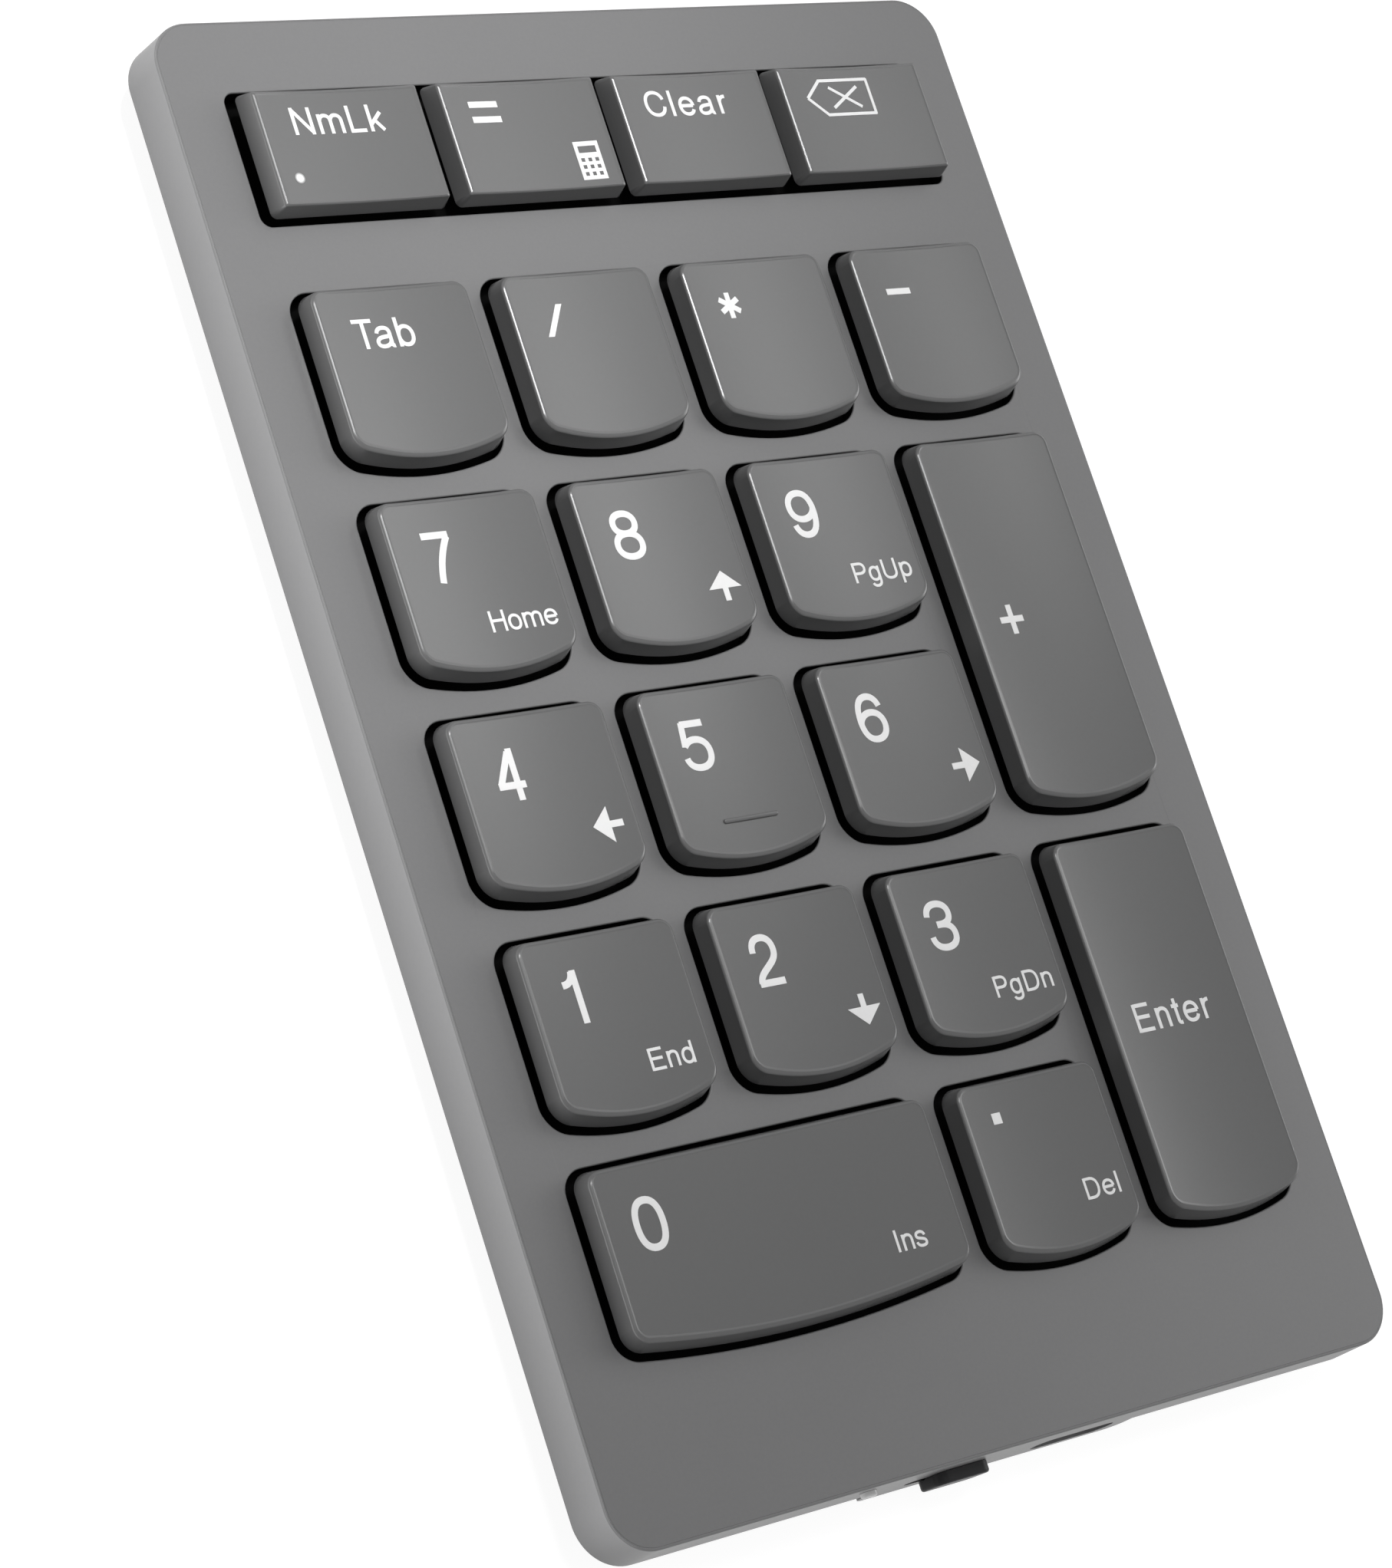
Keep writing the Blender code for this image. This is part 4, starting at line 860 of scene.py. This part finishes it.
class KEYPAD_OT_legends(bpy.types.Operator):
    """Print the legends on the keycaps"""

    bl_idname = "keypad.legends"
    bl_label = "Legends"

    def execute(self, context):
        for name in KEYS:
            parts = [self.print_layer(name, pen, strokes) for pen, strokes in self.pen_layers(name)]
            patches = self.patches(name)
            if patches:
                parts.append(self.print_layer(name, patches=patches))
            piece = self.join_parts(f"legend_{name}", parts)
            dress(piece, finish("legend_print"), f"key_{name}", None)
        light = self.print_layer("number_lock", patches=[circle(*LOCK_DOT, steps=28)])
        light.name = light.data.name = "lock_light"
        dress(light, self.light_finish(), "key_number_lock", None)
        return {"FINISHED"}

    def light_finish(self):
        """Painted glow of the number lock's light: white at the core, fading to a halo lighter than the key
        at its rim.
        """
        halo_gain, glow_white, core_reach = 1.6, 0.9, 0.5
        x, y, radius = (size * MM for size in LOCK_DOT)
        middle = key_box("number_lock").middle
        material = finish("light_dot")
        tree = material.node_tree
        grow = 1 / radius
        place = add_node(tree, "ShaderNodeTexCoord").outputs["Object"]
        centred = add_node(tree, "ShaderNodeMapping", {
            "Vector": place, "Scale": (grow, grow, 0.0),
            "Location": (-(middle.x + x) * grow, -(middle.y + y) * grow, 0.0)})
        fade = add_node(tree, "ShaderNodeTexGradient", {"Vector": centred}, gradient_type="SPHERICAL")
        ramp = add_node(tree, "ShaderNodeValToRGB", {"Fac": fade.outputs["Fac"]})
        rim, core = ramp.color_ramp.elements
        # Painted halo: the rim is lighter than the key
        rim.color = (*(halo_gain * shade for shade in setting("keypad_colours").key), 1.0)
        core.color = (glow_white, glow_white, glow_white, 1.0)
        core.position = core_reach
        tree.links.new(ramp.outputs["Color"], tree.nodes["Principled BSDF"].inputs["Base Color"])
        return material

    def pen_layers(self, name):
        """Strokes of a key's words and signs, each with its pen width in millimetres."""
        pen = setting("keypad_keys").legend_pen
        words = [
            (pen * cap, word_strokes(word, left, base, cap, width))
            for key, word, left, base, cap, width in WORDS if key == name]
        return words + [(width, pen_strokes(path)) for key, path, width in SIGNS if key == name]

    def patches(self, name):
        """Solid marks of a key."""
        patches = [patch for key, patch in PATCHES if key == name]
        return patches + calculator_patches() if name == "equals" else patches

    def print_layer(self, name, pen=0.5, strokes=(), patches=()):
        """One layer of print laid on a keycap's dish, with each stroke a hair above the last."""
        film = setting("keypad_keys").legend_film
        hair = 0.0012 * MM
        box, builder = key_box(name), bmesh.new()

        def lay(x, y, lift):
            x, y = x * MM, y * MM
            return builder.verts.new((
                box.middle.x + x, box.middle.y + y, box.low.z + dish_height(name, x) + lift))

        for index, stroke in enumerate(strokes):
            closed = stroke[0] == stroke[-1]
            points = [lay(x, y, hair * index) for x, y in (stroke[:-1] if closed else stroke)]
            for start, end in zip(points, points[1:]):
                builder.edges.new((start, end))
            if closed:
                builder.edges.new((points[-1], points[0]))
        for patch in patches:
            builder.faces.new([lay(x, y, -film / 2) for x, y in patch])
        bmesh.ops.remove_doubles(builder, verts=builder.verts, dist=hair / 2)
        for face in builder.faces:
            if face.normal.z < 0:
                face.normal_flip()
        piece = link("print_layer", to_mesh("print_layer", builder))
        run_tree(piece, print_tree(), Pen=pen * MM, Film=film, Print=finish("legend_print"))
        return piece

    def join_parts(self, name, parts):
        """One piece of flat faces from several layers of print."""
        builder = bmesh.new()
        for part in parts:
            builder.from_mesh(part.data)
            bpy.data.objects.remove(part, do_unlink=True)
        for face in builder.faces:
            face.smooth = False
        return link(name, to_mesh(name, builder))


def deck_plan():
    """Half width, front edge, back edge and height of the deck."""
    sizes = setting("keypad_case")
    _, size, low, high = node_box("top_case")
    lean = sizes.draft * sizes.side_height
    return Deck(size.x / 2 - lean, low.y + sizes.draft * size.z, high.y - lean, high.z)


def deck_outline(grow, steps=16):
    """The deck's outline, grown outwards."""
    half, front, back, _ = deck_plan()
    radius = setting("keypad_case").corner_radius + grow
    return rounded_rectangle(-half - grow, half + grow, front - grow, back + grow, radius, steps)


def well_outlines(grow):
    """Outlines of the first row's slot and of every key well, grown outwards."""
    sizes, case, slot_margin = setting("keypad_keys"), setting("keypad_case"), 0.3 * MM
    gap = sizes.clearance + grow
    row = [key_box(name) for name in FUNCTION_KEYS]
    side = max(box.high.x for box in row) + slot_margin + grow
    outlines = [rounded_rectangle(
        -side, side, row[0].low.y - gap, row[0].high.y + gap, case.slot_radius + grow)]
    for name in GRID_KEYS:
        middle, size, _, _ = key_box(name)
        outline = key_outline(
            size.x + 2 * gap, size.y + 2 * gap, sizes.bulge, sizes.back_radius + grow,
            sizes.front_radius + grow)
        outlines.append([(middle.x + x, middle.y + y) for x, y in outline])
    return outlines


class KEYPAD_OT_case(bpy.types.Operator):
    """Build the top case"""

    bl_idname = "keypad.case"
    bl_label = "Top case"

    def execute(self, context):
        piece = link("case_shell", self.shell_mesh())
        cut(piece, self.skirt_mesh())
        cut(piece, self.openings_mesh())
        smooth(piece, sharp_angle=40)
        dress(piece, finish("case_satin"), "case", "case", "top_case")
        self.paint_well_shade(piece)
        return {"FINISHED"}

    def paint_well_shade(self, piece):
        """Painted shade: dull near-black on the walls of the wells and in the hollow underneath, so the
        gaps round the keys read dark.
        """
        sizes = setting("keypad_case")
        half, front, back, deck = deck_plan()
        wall_margin, rim_margin, radius = 0.2 * MM, 0.05 * MM, sizes.corner_radius
        middle, reach = (front + back) / 2, (back - front) / 2
        inner_radius = radius - (sizes.wall + wall_margin)
        lower_rim = deck - sizes.side_height + rim_margin
        piece.data.materials.append(finish("well_painted_shade"))
        for face in piece.data.polygons:
            x, y, z = face.center
            past_x = abs(x) - (half - radius)
            past_y = abs(y - middle) - (reach - radius)
            if past_x > 0 and past_y > 0:
                within = math.hypot(past_x, past_y) < inner_radius
            else:
                within = max(past_x, past_y) < inner_radius
            # Faces inside the wall and under the deck's rim take the painted shade
            face.material_index = int(within and lower_rim < z < deck - sizes.rim_fillet)

    def shell_mesh(self):
        """Deck with rounded wells, side walls and the hollow underneath."""
        sizes, rim_steps = setting("keypad_case"), 4
        _, size, low, high = node_box("top_case")
        builder = bmesh.new()
        outer = [
            lay_flat(deck_outline(-inset * sizes.edge_bead), high.z - depth * sizes.edge_bead)
            for inset, depth in EDGE_BEAD]
        for depth in (sizes.side_height, size.z):
            outer.append(lay_flat(deck_outline(sizes.draft * depth), high.z - depth))
        inside = deck_outline(-sizes.wall)
        ceiling = high.z - sizes.deck_thickness
        rings = add_bands(builder, outer + [lay_flat(inside, low.z), lay_flat(inside, ceiling)])
        top_edges = ring_edges(builder, rings[0])
        ceiling_edges = ring_edges(builder, rings[-1])
        rim = quarter_round(sizes.rim_fillet, rim_steps)
        levels = [(inset, high.z - depth) for inset, depth in rim] + [(0.0, ceiling)]
        stacks = zip(*[[lay_flat(outline, z) for outline in well_outlines(grow)] for grow, z in levels])
        for stack in stacks:
            well = add_bands(builder, stack)
            top_edges += ring_edges(builder, well[0])
            ceiling_edges += ring_edges(builder, well[-1])
        for edges in (top_edges, ceiling_edges):
            bmesh.ops.triangle_fill(builder, edges=edges, use_beauty=True, normal=(0.0, 0.0, 1.0))
        return new_mesh("case_shell", builder)

    def skirt_mesh(self):
        """Cutter that shortens the side wall everywhere but at the apron."""
        sizes, past, steps = setting("keypad_case"), 3.0 * MM, 8
        half, front, back, deck = deck_plan()
        low = node_box("top_case").low
        upper, lower, side = deck - sizes.side_height, low.z - past, half + past
        near, behind = front - past, front + sizes.wall + past
        apron, radius = sizes.apron_width / 2, sizes.apron_round
        turns = [math.pi / 2 * step / steps for step in range(steps + 1)]
        corner = [
            (apron - radius + radius * math.sin(turn), low.z + radius - radius * math.cos(turn))
            for turn in turns]
        right = [(apron - radius, lower)] + corner + [(apron, upper), (side, upper), (side, lower)]
        left = [(-x, z) for x, z in right]
        block = [(-side, behind), (side, behind), (side, back + past), (-side, back + past)]
        return solids_mesh(
            "skirt_cut", [stand_up(right, near), stand_up(right, behind)],
            [stand_up(left, near), stand_up(left, behind)],
            [lay_flat(block, lower), lay_flat(block, upper)])

    def openings_mesh(self):
        """Cutter for the socket, the switch slot and the light window."""
        sizes, front = setting("keypad_case"), deck_plan().front
        past, behind, slot_length, slot_height = 2.0 * MM, 0.3 * MM, 6.0 * MM, 1.3 * MM
        socket_lap, window_gap = 0.3 * MM, 0.08 * MM
        near, far = front - past, front + sizes.wall + behind
        socket, socket_size, _, _ = node_box("socket_shell")
        window, window_size, _, _ = node_box("light_window")
        knob = node_box("switch_knob").middle
        travel = next(joint for joint in frame["joints"] if joint["name"] == "slide_switch")["range_m"][1]
        holes = (
            round_ended(socket.x, socket.z, socket_size.x - socket_lap, socket_size.z - socket_lap),
            round_ended(knob.x - travel / 2, socket.z, slot_length + travel, slot_height),
            round_ended(window.x, window.z, window_size.x + window_gap, window_size.z + window_gap),
        )
        return solids_mesh(
            "front_openings", *([stand_up(hole, near), stand_up(hole, far)] for hole in holes))


class KEYPAD_OT_cover(bpy.types.Operator):
    """Build the bottom cover and its feet"""

    bl_idname = "keypad.cover"
    bl_label = "Bottom cover and feet"

    def execute(self, context):
        builder = solid_copy("bottom_cover")
        bmesh.ops.dissolve_limit(
            builder, angle_limit=math.radians(1), verts=builder.verts, edges=builder.edges)
        cover = link("cover_shell", to_mesh("cover_shell", builder))
        bevel = cover.modifiers.new("edge", "BEVEL")
        bevel.width = 0.3 * MM
        bevel.segments = 3
        bevel.limit_method = "ANGLE"
        bevel.angle_limit = math.radians(30)
        bake(cover)
        smooth(cover, sharp_angle=40)
        dress(cover, finish("cover_moulding"), "case", "cover", "bottom_cover")
        for side in ("front", "back"):
            self.foot(side)
        return {"FINISHED"}

    def foot(self, side):
        """One rubber strip with a rounded lower edge."""
        edge_round, end_steps = 0.3 * MM, 24
        middle, size, low, high = node_box(f"foot_{side}")
        levels = [(inset, low.z + depth) for inset, depth in quarter_round(edge_round)] + [(0.0, high.z)]
        outlines = [
            lay_flat(round_ended(middle.x, middle.y, size.x - 2 * inset, size.y - 2 * inset, end_steps), z)
            for inset, z in levels]
        piece = loft(f"rubber_foot_{side}", outlines, sharp_angle=50)
        dress(piece, finish("foot_rubber"), "case", "foot", f"foot_{side}")


class KEYPAD_OT_front(bpy.types.Operator):
    """Build the switch knob, the socket and the light window"""

    bl_idname = "keypad.front"
    bl_label = "Front pieces"

    def execute(self, context):
        self.knob()
        self.socket()
        self.window()
        return {"FINISHED"}

    def knob(self):
        """Knob with rounded edges, and its neck through the slot."""
        sizes = setting("keypad_case")
        middle, _, low, high = node_box("switch_knob")
        deck = deck_plan()
        gap, corner, edge_round = 0.05 * MM, 1.0 * MM, 0.25 * MM
        trim_left, trim_right, trim_foot = 0.25 * MM, 0.45 * MM, 0.35 * MM
        half_neck, half_tall, neck_round = 2.75 * MM, 0.4 * MM, 0.3 * MM
        left, right, foot = low.x + trim_left, high.x - trim_right, low.z + trim_foot

        def outline(inset):
            return rounded_rectangle(
                left + inset, right - inset, foot + inset, high.z - inset, corner - inset)

        def along_wall(shape):
            return [(x, deck.front - sizes.draft * (deck.height - z) - gap, z) for x, z in shape]

        neck = rounded_rectangle(
            middle.x - half_neck, middle.x + half_neck, middle.z - half_tall, middle.z + half_tall,
            neck_round)
        outlines = [stand_up(neck, high.y), along_wall(neck), along_wall(outline(0.0))]
        for inset, depth in reversed(quarter_round(edge_round)):
            outlines.append(stand_up(outline(inset), low.y + depth))
        piece = loft("slide_knob", outlines, sharp_angle=50)
        dress(piece, finish("knob_moulding"), "switch_knob", "black_plastic", "switch_knob")

    def socket(self):
        """Round-ended steel cup with a rolled lip."""
        wall, back_wall, lip_steps, end_steps = 0.3 * MM, 0.6 * MM, 8, 24
        middle, size, low, high = node_box("socket_shell")

        def outline(inset, y):
            return stand_up(
                round_ended(middle.x, middle.z, size.x - 2 * inset, size.z - 2 * inset, end_steps), y)

        outlines = [outline(0.0, high.y)]
        for step in range(lip_steps + 1):
            turn = math.pi * step / lip_steps
            outlines.append(outline(
                wall / 2 * (1 - math.cos(turn)), low.y + wall / 2 * (1 - math.sin(turn))))
        outlines.append(outline(wall, high.y - back_wall))
        piece = loft("socket_cup", outlines, sharp_angle=40)
        dress(piece, finish("rolled_steel"), "case", "socket", "socket_shell")

    def window(self):
        """Clear tab that carries the light to the front."""
        edge_round = 0.2 * MM
        middle, size, low, high = node_box("light_window")
        outlines = [stand_up(round_ended(middle.x, middle.z, size.x, size.z), high.y)]
        for inset, depth in reversed(quarter_round(edge_round)):
            shape = round_ended(middle.x, middle.z, size.x - 2 * inset, size.z - 2 * inset)
            outlines.append(stand_up(shape, low.y + depth))
        piece = loft("light_tab", outlines, sharp_angle=50)
        dress(piece, finish("clear_moulding"), "case", "window", "light_window")


class KEYPAD_OT_mechanism(bpy.types.Operator):
    """Build the scissor levers and the rubber domes, and paint the solids that stay in view"""

    bl_idname = "keypad.mechanism"
    bl_label = "Key mechanism"

    def execute(self, context):
        for name in KEYS:
            for ending in ("_a", "_b") if name in DOUBLE_KEYS else ("",):
                self.levers(name, f"{name}{ending}")
            self.dome(name)
        self.dome_base()
        for node, look in PAINTED_SOLIDS.items():
            for place in frame["nodes"][node].material_slots:
                place.material = finish(look)
        return {"FINISHED"}

    def levers(self, name, pair):
        """One pair of scissor levers."""
        piece = link(f"levers_{pair}", new_mesh(f"levers_{pair}", solid_copy(f"scissor_{pair}")))
        smooth(piece, sharp_angle=20)
        dress(piece, finish("lever_resin_and_shade"), "case", "scissor", f"scissor_{pair}")
        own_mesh(piece)

    def dome(self, name):
        """One rubber dome."""
        middle = key_box(name).middle
        base, top = self.dome_levels()
        tall, steps = top - base, 32
        outlines = [
            lay_flat(circle(middle.x, middle.y, radius * MM, steps), base + tall * share)
            for radius, share in DOME_SECTION]
        piece = loft(f"dome_{name}", outlines, sharp_angle=60)
        dress(piece, finish("dome_rubber"), "case", "dome")
        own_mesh(piece)

    def dome_levels(self):
        """Heights of the dome sheet's base top and of the domes' tops."""
        sheet = 0.25 * MM
        _, _, low, high = node_box("dome_sheet")
        return low.z + sheet, high.z

    def dome_base(self):
        """Flat sheet between the domes."""
        corner = 1.5 * MM
        _, _, low, high = node_box("dome_sheet")
        base, _ = self.dome_levels()
        outline = rounded_rectangle(low.x, high.x, low.y, high.y, corner)
        layers = [lay_flat(outline, low.z), lay_flat(outline, base)]
        piece = link("dome_base", solids_mesh("dome_base", layers))
        dress(piece, finish("dome_rubber"), "case", "dome", "dome_sheet")


class KEYPAD_OT_stage(bpy.types.Operator):
    """Set up the floor, the light and the camera"""

    bl_idname = "keypad.stage"
    bl_label = "Stage"

    def execute(self, context):
        sizes = setting("keypad_stage")
        self.floor()
        self.world(context, sizes.ambient)
        for name, (place, aim, width, depth, power) in SOFTBOXES.items():
            data = bpy.data.lights.new(name, "AREA")
            data.shape = "RECTANGLE"
            data.size = width
            data.size_y = depth
            self.place_lamp(data, place, aim, power * sizes.light_level)
        for name, (place, aim, reach, blend, radius, power) in POOL_LAMPS.items():
            data = bpy.data.lights.new(name, "SPOT")
            data.spot_size = 2 * math.atan(reach / (Vector(place) - Vector(aim)).length)
            data.spot_blend = blend
            data.shadow_soft_size = radius
            self.place_lamp(data, place, aim, power * sizes.light_level)
        self.camera(context, sizes)
        context.scene.view_settings.view_transform = "Standard"
        return {"FINISHED"}

    def floor(self):
        """White floor that keeps the keypad's shadow; plain paper to the light that bounces off it."""
        reach, paper_white, seen_white, glow = 3.0, 0.8, 0.22, 0.92
        builder = bmesh.new()
        builder.faces.new(add_ring(builder, lay_flat(
            [(-reach, -reach), (reach, -reach), (reach, reach), (-reach, reach)], 0.0)))
        floor = link("floor", to_mesh("floor", builder))
        material = bpy.data.materials.new("floor_paper")
        material.use_nodes = True
        tree = material.node_tree
        tree.nodes.clear()
        paper, seen = (
            add_node(tree, "ShaderNodeBsdfDiffuse", {"Color": (white, white, white, 1.0)})
            for white in (paper_white, seen_white))
        light = add_node(tree, "ShaderNodeEmission", {"Strength": glow})
        lit = add_node(tree, "ShaderNodeAddShader", {0: seen, 1: light})
        pick = add_node(tree, "ShaderNodeMixShader", {"Fac": self.straight_rays(tree), 1: paper, 2: lit})
        add_node(tree, "ShaderNodeOutputMaterial", {"Surface": pick})
        floor.data.materials.append(material)

    def straight_rays(self, tree):
        """Mask of the rays that see a surface directly, mirrored or through glass."""
        path = add_node(tree, "ShaderNodeLightPath").outputs
        either = add_node(tree, "ShaderNodeMath", {
            0: path["Is Camera Ray"], 1: path["Is Glossy Ray"]}, operation="MAXIMUM")
        return add_node(
            tree, "ShaderNodeMath", {0: either, 1: path["Is Transmission Ray"]}, operation="MAXIMUM")

    def world(self, context, ambient):
        """Even light from all round, white where it is seen directly or mirrored."""
        world = bpy.data.worlds.new("studio")
        world.use_nodes = True
        tree = world.node_tree
        background = tree.nodes["Background"].inputs
        background["Color"].default_value = (1.0, 1.0, 1.0, 1.0)
        level = add_node(tree, "ShaderNodeMapRange", {
            "Value": self.straight_rays(tree), "To Min": ambient, "To Max": 1.0})
        tree.links.new(level.outputs["Result"], background["Strength"])
        context.scene.world = world

    def place_lamp(self, data, place, aim, power):
        """Put a lamp in the scene, turned towards its aim."""
        data.energy = power
        lamp = bpy.data.objects.new(data.name, data)
        lamp.location = place
        lamp.rotation_euler = (Vector(aim) - Vector(place)).to_track_quat("-Z", "Y").to_euler()
        lamp.visible_camera = False
        bpy.context.scene.collection.objects.link(lamp)

    def camera(self, context, sizes):
        """Camera at the photograph's viewing angle."""
        data = bpy.data.cameras.new("camera")
        data.sensor_width = 36.0
        data.lens = sizes.lens
        data.shift_x = sizes.shift_x
        data.shift_y = sizes.shift_y
        data.clip_start = 0.01
        camera = bpy.data.objects.new("camera", data)
        camera.location = sizes.camera_place
        camera.rotation_euler = sizes.camera_turn
        context.scene.collection.objects.link(camera)
        context.scene.camera = camera


class KEYPAD_PT_panel(bpy.types.Panel):
    """Operators and sizes of the keypad"""

    bl_idname = "KEYPAD_PT_panel"
    bl_label = "Numeric keypad"
    bl_space_type = "VIEW_3D"
    bl_region_type = "UI"
    bl_category = "Keypad"

    def draw(self, context):
        for operator in OPERATORS:
            self.layout.operator(operator.bl_idname)
        for group in GROUPS:
            box = self.layout.box()
            for key in GROUPS[group].__annotations__:
                box.prop(getattr(context.scene, group), key)


GROUPS = {
    "keypad_case": KeypadCaseSizes,
    "keypad_keys": KeypadKeySizes,
    "keypad_colours": KeypadColours,
    "keypad_stage": KeypadStageSizes,
}
OPERATORS = (
    KEYPAD_OT_case, KEYPAD_OT_cover, KEYPAD_OT_keycaps, KEYPAD_OT_legends, KEYPAD_OT_front,
    KEYPAD_OT_mechanism, KEYPAD_OT_stage,
)


def register():
    """Register the classes and the settings."""
    for group in GROUPS.values():
        bpy.utils.register_class(group)
    for operator in OPERATORS:
        bpy.utils.register_class(operator)
    bpy.utils.register_class(KEYPAD_PT_panel)
    for name, group in GROUPS.items():
        setattr(bpy.types.Scene, name, bpy.props.PointerProperty(type=group))


def unregister():
    """Take the settings and the classes away."""
    for name in GROUPS:
        delattr(bpy.types.Scene, name)
    bpy.utils.unregister_class(KEYPAD_PT_panel)
    for operator in reversed(OPERATORS):
        bpy.utils.unregister_class(operator)
    for group in reversed(list(GROUPS.values())):
        bpy.utils.unregister_class(group)


def main():
    """Build every piece."""
    register()
    bpy.ops.keypad.case()
    bpy.ops.keypad.cover()
    bpy.ops.keypad.keycaps()
    bpy.ops.keypad.legends()
    bpy.ops.keypad.front()
    bpy.ops.keypad.mechanism()
    bpy.ops.keypad.stage()


if __name__ == "__main__":
    main()
